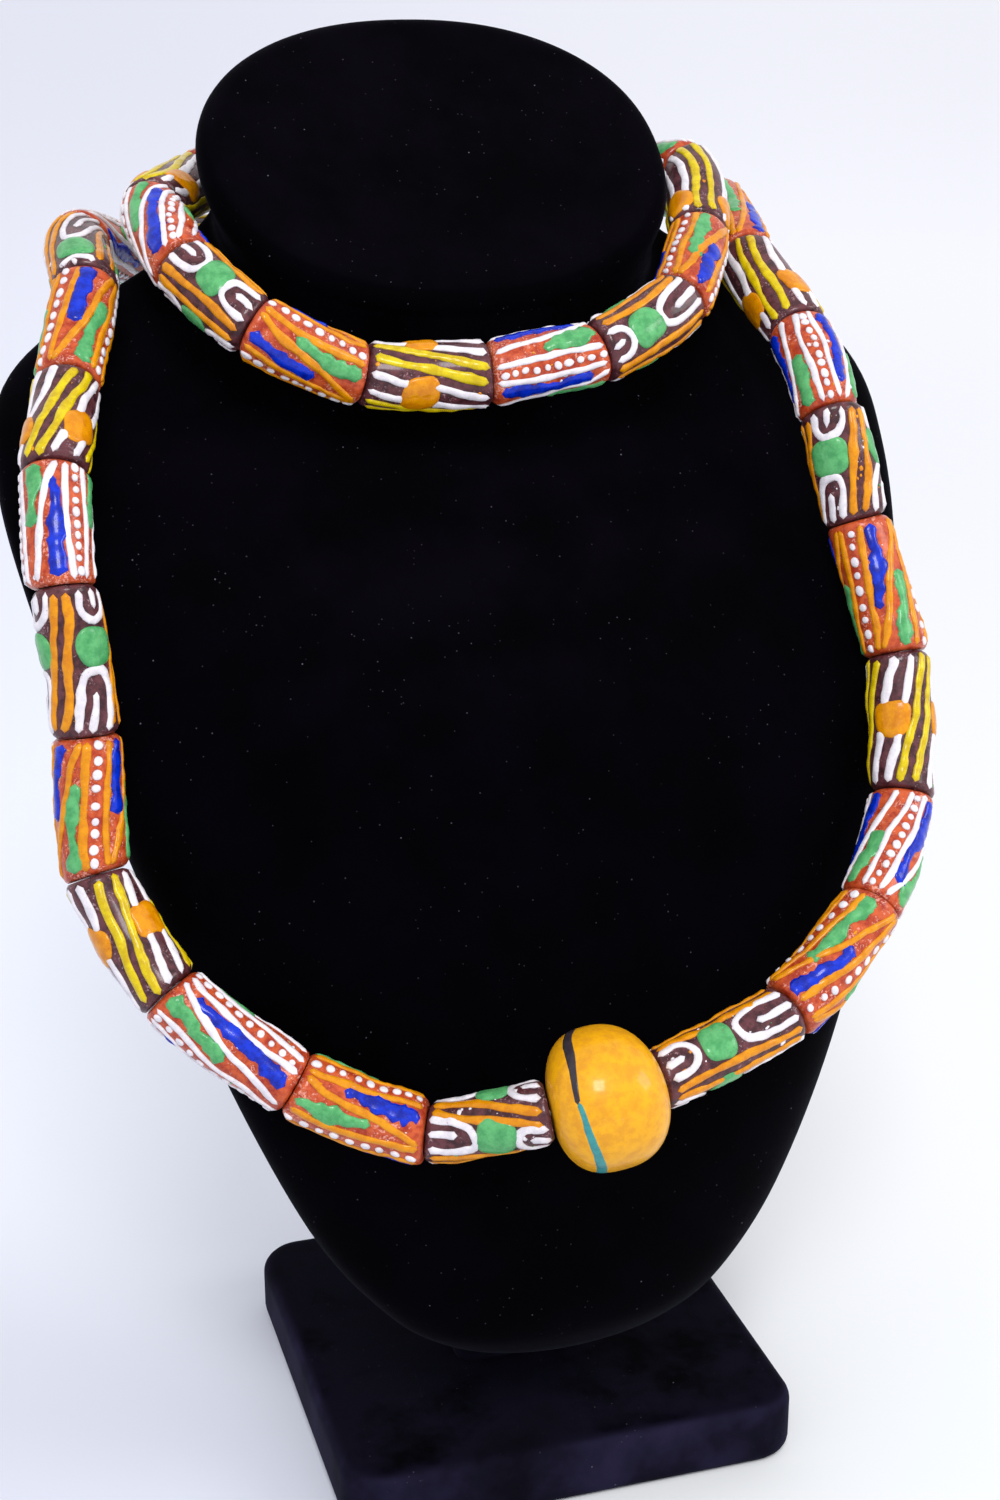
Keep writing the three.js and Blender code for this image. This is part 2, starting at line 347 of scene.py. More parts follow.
class Nap:
    """Brushed nap, lint and dust of flocked velvet.

    The lint is a few bright flecks, and the dust is many dim grains that lie in patches. Their
    bands are distances from the middle of a speck, as shares of a cell.
    """

    brushing = Cloud(38, 4, 0.6)
    brushed_band = (0.3, 0.75)
    pile = Cloud(3800, 2, 0.7)
    fleck_scale, fleck_size = 130, 0.06
    dust_scale, dust_band = 430, (0.09, 0.05)
    dust_patches = Cloud(60, 3, 0.6)
    dusty_band = (0.38, 0.6)
    dust_strength = 0.6

    def specks(self, sketch: NodeSketch, where: bpy.types.NodeSocket, scale: float) -> bpy.types.Node:
        """Adds a texture of scattered specks.

        Args:
            sketch: nodes of the group.
            where: coordinates.
            scale: specks per metre.

        Returns:
            The texture node.
        """
        node = sketch.add("ShaderNodeTexVoronoi", feature="F1")
        sketch.join(where, node.inputs["Vector"])
        node.inputs["Scale"].default_value = scale
        return node

    def group(self) -> bpy.types.NodeTree:
        """Builds the group.

        Returns:
            A group with outputs Brushing, Lint and Height.
        """
        floats = dict.fromkeys(("Brushing", "Lint", "Height"), "NodeSocketFloat")
        tree, sketch, entry, leave = new_group("velvet_nap", {"Lint": 0.5}, floats)
        where = sketch.add("ShaderNodeTexCoord").outputs["Object"]
        brushing = sketch.spread(sketch.noise(where, self.brushing), *self.brushed_band)
        pile = sketch.noise(where, self.pile)
        flecks = self.specks(sketch, where, self.fleck_scale)
        dust = self.specks(sketch, where, self.dust_scale)
        size = sketch.maths("MULTIPLY", entry.outputs["Lint"], self.fleck_size)
        fleck = sketch.spread(flecks.outputs["Distance"], size, sketch.maths("MULTIPLY", size, 0.5))
        grain = sketch.spread(dust.outputs["Distance"], *self.dust_band)
        dusty = sketch.spread(sketch.noise(where, self.dust_patches), *self.dusty_band)
        shown = sketch.maths("MULTIPLY", dusty, dust.outputs["Color"])
        settled = sketch.maths("MULTIPLY", grain, sketch.maths("MULTIPLY", shown, self.dust_strength))
        lint = sketch.maths("MAXIMUM", fleck, settled)
        height = sketch.maths("ADD", pile, sketch.maths("MULTIPLY", brushing, 0.5))
        for key, value in (("Brushing", brushing), ("Lint", lint), ("Height", height)):
            sketch.join(value, leave.inputs[key])
        return tree


class SharedEffects:
    """The node groups that several finishes use, each built once."""

    def __init__(self) -> None:
        """Builds the groups."""
        self.handling = Handling().group()
        self.nap = Nap().group()


@dataclass(frozen=True)
class GlassFinish:
    """Moulded glass or the raised paint on it.

    Args:
        name: name of the material.
        colour: main colour.
        shade: darker colour of the mottling.
        chalk: colour of pits and scuffs.
        roughness: of clean areas.
        pitting: how much of the surface is pitted.
        scuffing: how much of the surface is scuffed.
        coat: weight of the glossy skin.
        relief: bump distance in millimetres.
        coat_roughness: of the glossy skin.
        specular: strength of the reflection under it.
        scuff_cover: how much of the colour a scuff hides.
        pit_cover: how much of the colour a pit hides.
        dulling: roughness that pits and scuffs add.
    """

    name: str
    colour: tuple[float, float, float, float]
    shade: tuple[float, float, float, float]
    chalk: tuple[float, float, float, float]
    roughness: float = 0.3
    pitting: float = 0.5
    scuffing: float = 0.4
    coat: float = 0.3
    relief: float = 0.12
    coat_roughness: float = 0.12
    specular: float = 0.16
    scuff_cover: float = 0.65
    pit_cover: float = 0.7
    dulling: float = 0.3

    def make(self, effects: SharedEffects) -> bpy.types.Material:
        """Builds the material.

        Args:
            effects: shared node groups.

        Returns:
            The material.
        """
        material = bpy.data.materials.new(self.name)
        material.use_nodes = True
        sketch = NodeSketch(material.node_tree)
        surface = material.node_tree.nodes["Principled BSDF"]
        handling = sketch.add("ShaderNodeGroup", node_tree=effects.handling)
        handling.inputs["Pitting"].default_value = self.pitting
        handling.inputs["Scuffing"].default_value = self.scuffing
        body = sketch.mix(handling.outputs["Mottle"], self.shade, self.colour)
        scuffs = sketch.maths("MULTIPLY", handling.outputs["Scuffs"], self.scuff_cover)
        pits = sketch.maths("MULTIPLY", handling.outputs["Pits"], self.pit_cover)
        pitted = sketch.mix(pits, sketch.mix(scuffs, body, self.chalk), self.chalk)
        sketch.join(pitted, surface.inputs["Base Color"])
        dull = sketch.maths("MAXIMUM", handling.outputs["Scuffs"], handling.outputs["Pits"])
        rough = sketch.maths("ADD", sketch.maths("MULTIPLY", dull, self.dulling), self.roughness)
        sketch.join(rough, surface.inputs["Roughness"])
        surface.inputs["Specular IOR Level"].default_value = self.specular
        surface.inputs["Coat Weight"].default_value = self.coat
        surface.inputs["Coat Roughness"].default_value = self.coat_roughness
        bump = sketch.add("ShaderNodeBump")
        bump.inputs["Distance"].default_value = self.relief * MM
        bump.inputs["Strength"].default_value = 0.8
        sketch.join(handling.outputs["Height"], bump.inputs["Height"])
        sketch.join(bump.outputs["Normal"], surface.inputs["Normal"])
        return material


@dataclass(frozen=True)
class VelvetFinish:
    """Black flocked velvet, with painted light and shade on faces that look up.

    Args:
        name: name of the material.
        dark: colour of the pile stroked down.
        light: colour of the pile stroked up.
        level: colour that faces looking up take, as painted light on the bust's top and painted shade on the
            pad's top.
        lint: colour of the lint.
        lint_amount: size of the lint specks.
        sheen: weight of the sheen.
        sheen_roughness: how widely it spreads from the outline.
        sheen_tint: its colour.
        relief: bump distance in millimetres.
        painted_top_band: upward parts of the normal between which a face takes the painted top tone.
        least_painted_top: how much of the painted top tone the brushed-down patches take.
    """

    name: str = "black_velvet"
    dark: tuple[float, float, float, float] = srgb(0, 0, 1)
    light: tuple[float, float, float, float] = srgb(2, 1, 5)
    level: tuple[float, float, float, float] = srgb(8, 6, 12)
    lint: tuple[float, float, float, float] = srgb(84, 80, 92)
    lint_amount: float = 0.5
    sheen: float = 0.045
    sheen_roughness: float = 0.28
    sheen_tint: tuple[float, float, float, float] = srgb(200, 205, 235)
    relief: float = 0.15
    painted_top_band: tuple[float, float] = (0.55, 0.95)
    least_painted_top: float = 0.35

    def make(self, effects: SharedEffects) -> bpy.types.Material:
        """Builds the material.

        Args:
            effects: shared node groups.

        Returns:
            The material.
        """
        material = bpy.data.materials.new(self.name)
        material.use_nodes = True
        sketch = NodeSketch(material.node_tree)
        surface = material.node_tree.nodes["Principled BSDF"]
        nap = sketch.add("ShaderNodeGroup", node_tree=effects.nap)
        nap.inputs["Lint"].default_value = self.lint_amount
        # Painted light and shade: faces that look up, by the Z of their normal, take the level colour in
        # place of the pile's.
        facing = sketch.add("ShaderNodeSeparateXYZ")
        sketch.join(sketch.add("ShaderNodeNewGeometry").outputs["Normal"], facing.inputs["Vector"])
        patchy = sketch.spread(nap.outputs["Brushing"], 0.0, 1.0, self.least_painted_top, 1.0)
        upward = sketch.maths("MULTIPLY", sketch.spread(facing.outputs["Z"], *self.painted_top_band), patchy)
        pile = sketch.mix(upward, sketch.mix(nap.outputs["Brushing"], self.dark, self.light), self.level)
        sketch.join(sketch.mix(nap.outputs["Lint"], pile, self.lint), surface.inputs["Base Color"])
        surface.inputs["Roughness"].default_value = 0.9
        surface.inputs["Specular IOR Level"].default_value = 0.02
        surface.inputs["Sheen Weight"].default_value = self.sheen
        surface.inputs["Sheen Roughness"].default_value = self.sheen_roughness
        surface.inputs["Sheen Tint"].default_value = self.sheen_tint
        bump = sketch.add("ShaderNodeBump")
        bump.inputs["Distance"].default_value = self.relief * MM
        bump.inputs["Strength"].default_value = 0.7
        sketch.join(nap.outputs["Height"], bump.inputs["Height"])
        sketch.join(bump.outputs["Normal"], surface.inputs["Normal"])
        return material


# Colours and painted patterns of the beads


class Paint(Enum):
    """Colours on the tube beads, in the order of a bead's material slots."""

    GROUND = 0
    WHITE = 1
    ORANGE = 2
    YELLOW = 3
    GREEN = 4
    BLUE = 5


class Kind(Enum):
    """Painted kinds of tube bead."""

    STRIPED = "A"
    DOTTED_WHITE = "B"
    ARCHED = "C"
    DOTTED_ORANGE = "D"


@dataclass(frozen=True)
class Trail:
    """A line or streak of raised paint.

    Args:
        paint: its colour.
        path: share of the bead's length, and millimetres round it, for each point.
        width: in millimetres.
        height: in millimetres.
        end_share: width at the far end as a share of width.
        rough: unevenness of the two edges, as a share of width.
        blunt: 0 for round ends and up to 1 for square ones.
    """

    paint: Paint
    path: tuple[tuple[float, float], ...]
    width: float = 1.35
    height: float = 0.4
    end_share: float = 1.0
    rough: float = 0.08
    blunt: float = 0.3


@dataclass(frozen=True)
class DotRow:
    """A row of round dots.

    Args:
        paint: their colour.
        start: share of the length, and millimetres round, of the first dot.
        end: the same of the last dot.
        count: number of dots.
        radius: in millimetres.
    """

    paint: Paint
    start: tuple[float, float]
    end: tuple[float, float]
    count: int
    radius: float


@dataclass(frozen=True)
class Spot:
    """A rounded spot of thick paint.

    Args:
        paint: its colour.
        centre: share of the length, and millimetres round.
        size: millimetres along and round.
    """

    paint: Paint
    centre: tuple[float, float]
    size: tuple[float, float]


def striped_cell(spot_at: float) -> list:
    """White pair under an orange spot, then two yellow lines.

    Args:
        spot_at: share of the length where the spot is.

    Returns:
        The painted features of a third of the way round.
    """
    near, far = spot_at - 0.08, spot_at + 0.08
    cell: list = []
    for place in (-2.0, 2.0):
        cell.append(Trail(Paint.WHITE, ((0.03, place), (near / 2, place * 1.12), (near, place)), 2.0))
        beyond = ((far, place), ((far + 1) / 2, place * 1.1), (0.97, place * 0.95))
        cell.append(Trail(Paint.WHITE, beyond, 2.0))
    cell.append(Trail(Paint.YELLOW, ((0.02, 5.3), (0.3, 4.9), (0.62, 4.8), (0.97, 5.0)), 2.0))
    cell.append(Trail(Paint.YELLOW, ((0.04, 8.6), (0.4, 8.3), (0.7, 8.5), (0.95, 8.1)), 2.0))
    cell.append(Spot(Paint.ORANGE, (spot_at, 0.0), (8.4, 8.4)))
    return cell


def dotted_white_cell() -> list:
    """Row of white dots between white lines, and a blue and a green streak split by a white line.

    Returns:
        The painted features of a third of the way round.
    """
    return [
        Trail(Paint.WHITE, ((0.03, -1.5), (0.35, -2.3), (0.7, -2.25), (0.97, -1.8)), 1.5),
        Trail(Paint.WHITE, ((0.03, 1.6), (0.4, 2.25), (0.7, 2.2), (0.96, 1.9)), 1.5),
        DotRow(Paint.WHITE, (0.09, 0.0), (0.93, 0.05), 10, 0.86),
        Trail(Paint.BLUE, ((0.06, 4.3), (0.25, 4.5), (0.5, 4.5), (0.84, 4.4)), 3.9, 0.42, 0.65, 0.16, 0.8),
        Trail(Paint.WHITE, ((0.04, 9.6), (0.24, 8.4), (0.55, 7.2), (0.8, 6.0), (0.97, 3.9)), 1.5),
        Trail(Paint.GREEN, ((0.46, 9.9), (0.62, 9.7), (0.82, 9.0), (0.96, 8.6)), 4.1, 0.42, 0.85, 0.15, 0.8),
    ]


def arched_cell(spot_at: float) -> list:
    """White arches open to both ends with a green spot between, and two orange lines.

    Args:
        spot_at: share of the length where the spot is.

    Returns:
        The painted features of a third of the way round.
    """
    left, right = spot_at - 0.15, spot_at + 0.16
    return [
        Trail(Paint.WHITE, ((0.03, -3.5), (0.6 * left, -3.5), (left - 0.03, -2.3), (left, 0.0),
                            (left - 0.03, 2.2), (0.6 * left, 3.2), (0.04, 3.1)), 1.85),
        Trail(Paint.WHITE, ((0.03, 0.3), (0.35 * left, -0.1), (0.68 * left, -0.3)), 1.75),
        Trail(Paint.WHITE, ((0.97, -3.2), (1 - 0.6 * (1 - right), -3.4), (right + 0.03, -2.2), (right, 0.0),
                            (right + 0.03, 2.1), (1 - 0.6 * (1 - right), 3.2), (0.96, 3.3)), 1.85),
        Trail(Paint.WHITE, ((0.97, 0.2), (1 - 0.68 * (1 - right), -0.2)), 1.75),
        Spot(Paint.GREEN, (spot_at, -0.3), (7.6, 9.4)),
        Trail(Paint.ORANGE, ((0.05, 5.9), (0.35, 5.5), (0.65, 5.4), (0.95, 5.9)), 1.95),
        Trail(Paint.ORANGE, ((0.06, 8.7), (0.4, 8.9), (0.7, 8.7), (0.95, 8.5)), 1.95),
    ]


def dotted_orange_cell(first: Paint, second: Paint) -> list:
    """Row of white dots between orange lines, and two streaks split by an orange line.

    Args:
        first: colour of the streak at the end where the row starts.
        second: colour of the streak at the other end.

    Returns:
        The painted features of a third of the way round.
    """
    return [
        DotRow(Paint.WHITE, (0.08, 0.0), (0.94, -0.1), 9, 0.95),
        Trail(Paint.ORANGE, ((0.04, 2.0), (0.4, 2.3), (0.75, 2.4), (0.97, 1.9)), 1.75),
        Trail(first, ((0.05, 4.7), (0.28, 4.6), (0.48, 4.7), (0.68, 4.3)), 3.5, 0.42, 0.85, 0.15, 0.8),
        Trail(Paint.ORANGE, ((0.04, 10.9), (0.28, 8.6), (0.55, 6.7), (0.8, 5.2), (0.97, 3.4)), 1.7),
        Trail(second, ((0.42, 9.4), (0.6, 9.4), (0.8, 9.2), (0.97, 8.8)), 3.6, 0.42, 0.9, 0.15, 0.8),
        Trail(Paint.ORANGE, ((0.04, 11.6), (0.4, 12.2), (0.75, 12.0), (0.97, 11.6)), 1.75),
    ]


@dataclass(frozen=True)
class Turn:
    """How one bead sits on the string.

    Args:
        roll: millimetres round from the side that faces the camera to the pattern's start.
        slant: millimetres that the pattern climbs round over the bead's length.
        spot_at: share of the length where its spots are.
        flipped: whether the pattern runs the other way along the bead.
        swapped: whether its two streaks change colours.
        girth: its thickness as a share of the other beads'.
        drips: number of stray drips of paint on it.
    """

    roll: float = 0.0
    slant: float = -3.0
    spot_at: float = 0.5
    flipped: bool = False
    swapped: bool = False
    girth: float = 1.0
    drips: int = 12


# kinds in the order of the route, and how the beads that show are turned
KINDS = [Kind(letter) for letter in "CDBADCBADCBADCDBADCBADCBADCABCDABCDABDC"]
TURNS = {
    0: Turn(3.4, -7.0, 0.41, girth=0.9, drips=70), 1: Turn(-6.8, 2.0, swapped=True), 2: Turn(-5.7, -5.5),
    3: Turn(-5.8, -5.0, 0.53), 4: Turn(-1.0, -2.5), 5: Turn(-3.8, -5.0, 0.6, girth=0.94), 6: Turn(-4.3, 0.0),
    7: Turn(-5.6, -8.0, 0.33), 8: Turn(6.2, -3.5), 9: Turn(1.0, -4.0, 0.25), 10: Turn(-6.0, -3.0),
    16: Turn(-3.5, -4.0, 0.8), 17: Turn(-5.4, -6.0), 18: Turn(0.4, 0.0, 0.61),
    19: Turn(1.0, 0.3, flipped=True),
    20: Turn(4.6, -6.8, 0.56), 21: Turn(-5.3, -3.8), 22: Turn(-3.0, 0.5, 0.48), 23: Turn(-4.6, -6.5),
    24: Turn(0.6, 8.0, 0.3), 30: Turn(0.0, -3.0), 31: Turn(-6.3, -4.0, 0.67), 32: Turn(1.8, -1.0, drips=50),
    33: Turn(-3.3, -6.0, 0.4, drips=60), 34: Turn(-4.0, -4.4, swapped=True), 35: Turn(-2.0, -7.0, 0.48),
    36: Turn(1.2, -6.5), 37: Turn(6.6, -8.5), 38: Turn(-1.6, -1.5, 0.59, girth=0.92, drips=80),
}


# Shapes


class Mould:
    """Collects the points and faces of one mesh."""

    def __init__(self) -> None:
        """Starts empty."""
        self.points: list[np.ndarray] = []
        self.faces: list[tuple[int, ...]] = []
        self.slots: list[int] = []
        self.count = 0

    def add_points(self, points: np.ndarray) -> int:
        """Adds points.

        Args:
            points: rows of x, y, z in metres.

        Returns:
            Index of the first one.
        """
        first = self.count
        self.points.append(points.reshape(-1, 3))
        self.count += self.points[-1].shape[0]
        return first

    def add_grid(self, points: np.ndarray, slot: int, wrap_rows: bool = False, ends: bool = False) -> None:
        """Adds a grid of points whose columns close into rings.

        Args:
            points: rows by columns by 3.
            slot: material slot.
            wrap_rows: whether the last ring joins the first.
            ends: whether a fan closes each end.
        """
        rows, columns = points.shape[:2]
        first = self.add_points(points)
        bands = rows if wrap_rows else rows - 1
        for row in range(bands):
            here, there = first + row * columns, first + ((row + 1) % rows) * columns
            for column in range(columns):
                beside = (column + 1) % columns
                self.faces.append((here + column, here + beside, there + beside, there + column))
                self.slots.append(slot)
        if ends:
            for row, flip in ((0, True), (rows - 1, False)):
                middle = self.add_points(points[row].mean(axis=0))
                ring = first + row * columns
                for column in range(columns):
                    pair = (ring + column, ring + (column + 1) % columns)
                    self.faces.append((middle, pair[1], pair[0]) if flip else (middle, pair[0], pair[1]))
                    self.slots.append(slot)

    def cast(self, name: str, materials: list[bpy.types.Material]) -> bpy.types.Object:
        """Makes the object.

        Args:
            name: name of the piece.
            materials: one per slot.

        Returns:
            The new object, smooth shaded.
        """
        mesh = bpy.data.meshes.new(name)
        mesh.from_pydata(np.concatenate(self.points).tolist(), [], self.faces)
        for material in materials:
            mesh.materials.append(material)
        mesh.polygons.foreach_set("material_index", self.slots)
        mesh.polygons.foreach_set("use_smooth", [True] * len(self.faces))
        mesh.update()
        piece = bpy.data.objects.new(name, mesh)
        bpy.context.collection.objects.link(piece)
        return piece


class Wander:
    """A smooth seeded wobble with a strength of about 1."""

    def __init__(self, rng: np.random.Generator, shortest: float, longest: float, waves: int = 4) -> None:
        """Args:
            rng: seeded source of numbers.
            shortest: shortest wavelength.
            longest: longest wavelength.
            waves: number of waves added up.
        """
        self.rates = 2 * math.pi / rng.uniform(shortest, longest, waves)
        self.phases = rng.uniform(0, 2 * math.pi, waves)

    def at(self, place: np.ndarray) -> np.ndarray:
        """Value at each place."""
        place = np.asarray(place, float)[..., None]
        return np.sin(place * self.rates + self.phases).sum(-1) / math.sqrt(len(self.rates) / 2)


def unit(vector: np.ndarray) -> np.ndarray:
    """Vectors at length 1."""
    return vector / np.linalg.norm(vector, axis=-1, keepdims=True)


def close_over(rings: list[np.ndarray], shares: tuple[float, ...]) -> None:
    """Adds shrinking rings over a flat top.

    Args:
        rings: rings so far, the last at the edge of the top.
        shares: sizes of the new rings as shares of that edge.
    """
    edge = rings[-1]
    middle = edge.mean(axis=0)
    rings.extend(middle + (edge - middle) * share for share in shares)


class BeadString:
    """The curve that the beads follow."""

    def __init__(self, route: list[tuple[float, float, float]], curl: float = 0.45) -> None:
        """Args:
            route: stops between beads, in millimetres.
            curl: how far a bead follows the bend of the string.
        """
        self.stops = np.array(route, float)
        self.curl = curl

    def heading(self, index: int) -> np.ndarray:
        """Direction of the straight line from a stop to the next."""
        count = len(self.stops)
        return unit(self.stops[(index + 1) % count] - self.stops[index % count])

    def turn(self, index: int) -> np.ndarray:
        """Direction of the string at a stop."""
        return unit(self.heading(index - 1) + self.heading(index))

    def length(self, index: int) -> float:
        """Distance between a stop and the next."""
        count = len(self.stops)
        return float(np.linalg.norm(self.stops[(index + 1) % count] - self.stops[index % count]))

    def stations(self, index: int, share: np.ndarray,
                 curl: float | None = None) -> tuple[np.ndarray, np.ndarray]:
        """Centres and directions along one bead.

        Args:
            index: number of the bead.
            share: shares of its length.
            curl: bend to use in place of the string's own.

        Returns:
            Centres in millimetres, and directions.
        """
        curl = self.curl if curl is None else curl
        count = len(self.stops)
        start, end = self.stops[index % count], self.stops[(index + 1) % count]
        length = self.length(index)
        first = (self.turn(index) - self.heading(index)) * length
        last = (self.turn(index + 1) - self.heading(index)) * length
        t = np.asarray(share, float)[..., None]
        centres = start + (end - start) * t + curl * (t * (1 - t) ** 2 * first - t * t * (1 - t) * last)
        directions = self.heading(index) + (first * (1 - t) ** 3 + last * t ** 3) / length
        return centres, unit(directions)


class BeadSkin:
    """The outside of one bead, as a map from places on it to points in space.

    Its ends are rounded by rim millimetres, which changes by the share rim_change round
    them, and are thinner than its middle by the share waist. The most that a bead tapers
    and is oval are shares of its radius, and the most that it bows is in millimetres.
    """

    rim = 1.6
    rim_change = 0.3
    waist = 0.018
    most_taper = 0.025
    most_oval = 0.03
    most_bow = 0.45

    def __init__(self, string: BeadString, index: int, radius: float, eye: np.ndarray,
                 rng: np.random.Generator, curl: float | None = None) -> None:
        """Args:
            string: the string of beads.
            index: number of the bead.
            radius: in millimetres.
            eye: place that the pattern's start faces, in millimetres.
            rng: seeded source of numbers.
            curl: bend of this bead, or None for the string's own.
        """
        self.string, self.index, self.radius, self.curl = string, index, radius, curl
        self.length = string.length(index)
        self.eye = eye
        self.lumps_along = [Wander(rng, 9, 34, 3) for _ in range(4)]
        self.lump_phases = rng.uniform(0, 2 * math.pi, 4)
        self.taper = rng.uniform(-self.most_taper, self.most_taper)
        self.oval = rng.uniform(0, self.most_oval)
        self.bow = rng.uniform(-self.most_bow, self.most_bow)
        self.lumpiness = 0.14

    def profile(self, share: np.ndarray, angle: np.ndarray) -> np.ndarray:
        """Radius of the bead before its lumps.

        Args:
            share: shares of the length.
            angle: radians round it.

        Returns:
            Radii in millimetres.
        """
        phase = np.where(share < 0.5, self.lump_phases[1], self.lump_phases[2])
        edge = self.rim * (1 + self.rim_change * np.cos(angle + phase))
        depth = np.minimum(share, 1 - share) * self.length
        inward = np.clip(1 - depth / edge, 0, 1)
        belly = 1 - self.waist * (2 * share - 1) ** 2 + self.taper * (2 * share - 1)
        return self.radius * belly - edge * (1 - np.sqrt(1 - inward ** 2))

    def points(self, share: np.ndarray, around: np.ndarray, rise: np.ndarray | float = 0.0,
               radius: np.ndarray | None = None) -> np.ndarray:
        """Points on or over the bead.

        Args:
            share: shares of the length.
            around: millimetres round the bead from the side that faces the eye.
            rise: millimetres above the surface.
            radius: radii to use in place of the bead's own.

        Returns:
            Rows of x, y, z in metres.
        """
        share = np.asarray(share, float)
        centres, directions = self.string.stations(self.index, share, self.curl)
        facing = unit(self.eye - self.string.stations(self.index, np.array(0.5), self.curl)[0])
        up = unit(facing - directions * (directions @ facing)[..., None])
        side = np.cross(up, directions)
        angle = np.asarray(around, float) / self.radius
        if radius is None:
            lumps = sum(wave.at(share * self.length) * np.cos((n + 1) * angle + phase) / (n + 1)
                        for n, (wave, phase) in enumerate(zip(self.lumps_along, self.lump_phases)))
            radius = self.profile(share, angle) * (1 + self.oval * np.cos(2 * angle + self.lump_phases[0]))
            radius = radius + lumps * self.lumpiness
        reach = (radius + rise)[..., None]
        centres = centres + (4 * self.bow * share * (1 - share))[..., None] * side
        points = centres + reach * (np.cos(angle)[..., None] * up + np.sin(angle)[..., None] * side)
        return points * MM


@dataclass
class TubeBead:
    """A tube bead: its barrel and the raised paint on it.

    Args:
        index: place on the string.
        kind: painted kind.
        turn: how it sits on the string.
        radius: in millimetres.
        bore: radius of its hole, in millimetres.
        mouth: radius where the end face meets the hole's flare, in millimetres.
        flare: radius of the hole's mouth as a share of bore.
        gap: space left to the next bead, in millimetres.
        crowding: share of the rings that crowd towards the ends.
        rings: rings along the barrel.
        sides: points round the barrel.
        repeats: times that the pattern goes round.
    """

    index: int
    kind: Kind
    turn: Turn
    radius: float = 6.9
    bore: float = 1.5
    mouth: float = 3.6
    flare: float = 1.15
    gap: float = 0.3
    crowding: float = 0.35
    rings: int = 44
    sides: int = 60
    repeats: int = 3

    def cell(self) -> list:
        """Painted features of one repeat.

        Returns:
            The marks of the bead's kind.
        """
        if self.kind is Kind.STRIPED:
            return striped_cell(self.turn.spot_at)
        if self.kind is Kind.DOTTED_WHITE:
            return dotted_white_cell()
        if self.kind is Kind.ARCHED:
            return arched_cell(self.turn.spot_at)
        streaks = (Paint.BLUE, Paint.GREEN) if self.turn.swapped else (Paint.GREEN, Paint.BLUE)
        return dotted_orange_cell(*streaks)

    def settle(self, path: np.ndarray, repeat: int) -> np.ndarray:
        """Moves a path from the cell to its place on the bead.

        Args:
            path: rows of share and millimetres round.
            repeat: number of the repeat.

        Returns:
            The path in the bead's own places.
        """
        share = 1 - path[:, 0] if self.turn.flipped else path[:, 0]
        step = 2 * math.pi * self.radius / self.repeats
        around = path[:, 1] + self.turn.roll + repeat * step + self.turn.slant * (share - 0.5)
        return np.stack([share, around], axis=1)

    def build(self, string: BeadString, eye: np.ndarray,
              materials: list[bpy.types.Material]) -> bpy.types.Object:
        """Builds the bead.

        Args:
            string: the string of beads.
            eye: place of the camera, in millimetres.
            materials: ground and paints in the order of Paint.

        Returns:
            The finished piece.
        """
        rng = np.random.default_rng(4100 + self.index)
        skin = BeadSkin(string, self.index, self.radius, eye, rng)
        mould = Mould()
        self.barrel(skin, mould)
        painter = Painter(skin, mould, rng)
        for repeat in range(self.repeats):
            for mark in self.cell():
                if isinstance(mark, Trail):
                    painter.trail(mark, self.settle(np.array(mark.path), repeat))
                elif isinstance(mark, DotRow):
                    ends = self.settle(np.array([mark.start, mark.end]), repeat)
                    painter.dots(mark, ends)
                else:
                    painter.spot(mark, self.settle(np.array([mark.centre]), repeat)[0])
        painter.strays(self.turn.drips)
        name = f"tube_bead_{self.index + 1:02d}"
        piece = mould.cast(f"painted_{name}", materials)
        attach(piece, "root")
        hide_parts(name)
        return piece

    def barrel(self, skin: BeadSkin, mould: Mould) -> None:
        """Adds the barrel with its rounded ends and its bore.

        Args:
            skin: the bead's outside.
            mould: mesh to add to.
        """
        inset = self.gap / 2 / skin.length
        lean = np.linspace(0, math.pi, self.rings)
        crowded, even = (1 - np.cos(lean)) / 2, lean / math.pi
        share = inset + (1 - 2 * inset) * (self.crowding * crowded + (1 - self.crowding) * even)
        around = np.linspace(0, 2 * math.pi * self.radius, self.sides, endpoint=False)
        shares, arounds = np.meshgrid(share, around, indexing="ij")
        outside = skin.points(shares, arounds)
        inner_share = np.array([1 - inset, 1 - inset, 0.75, 0.5, 0.25, inset, inset])
        end = [self.mouth, self.bore * self.flare]
        inner_radius = np.array([*end, self.bore, self.bore, self.bore, *end[::-1]])
        shares, arounds = np.meshgrid(inner_share, around, indexing="ij")
        inside = skin.points(shares, arounds, radius=np.repeat(inner_radius[:, None], self.sides, axis=1))
        mould.add_grid(np.concatenate([outside, inside]), Paint.GROUND.value, wrap_rows=True)


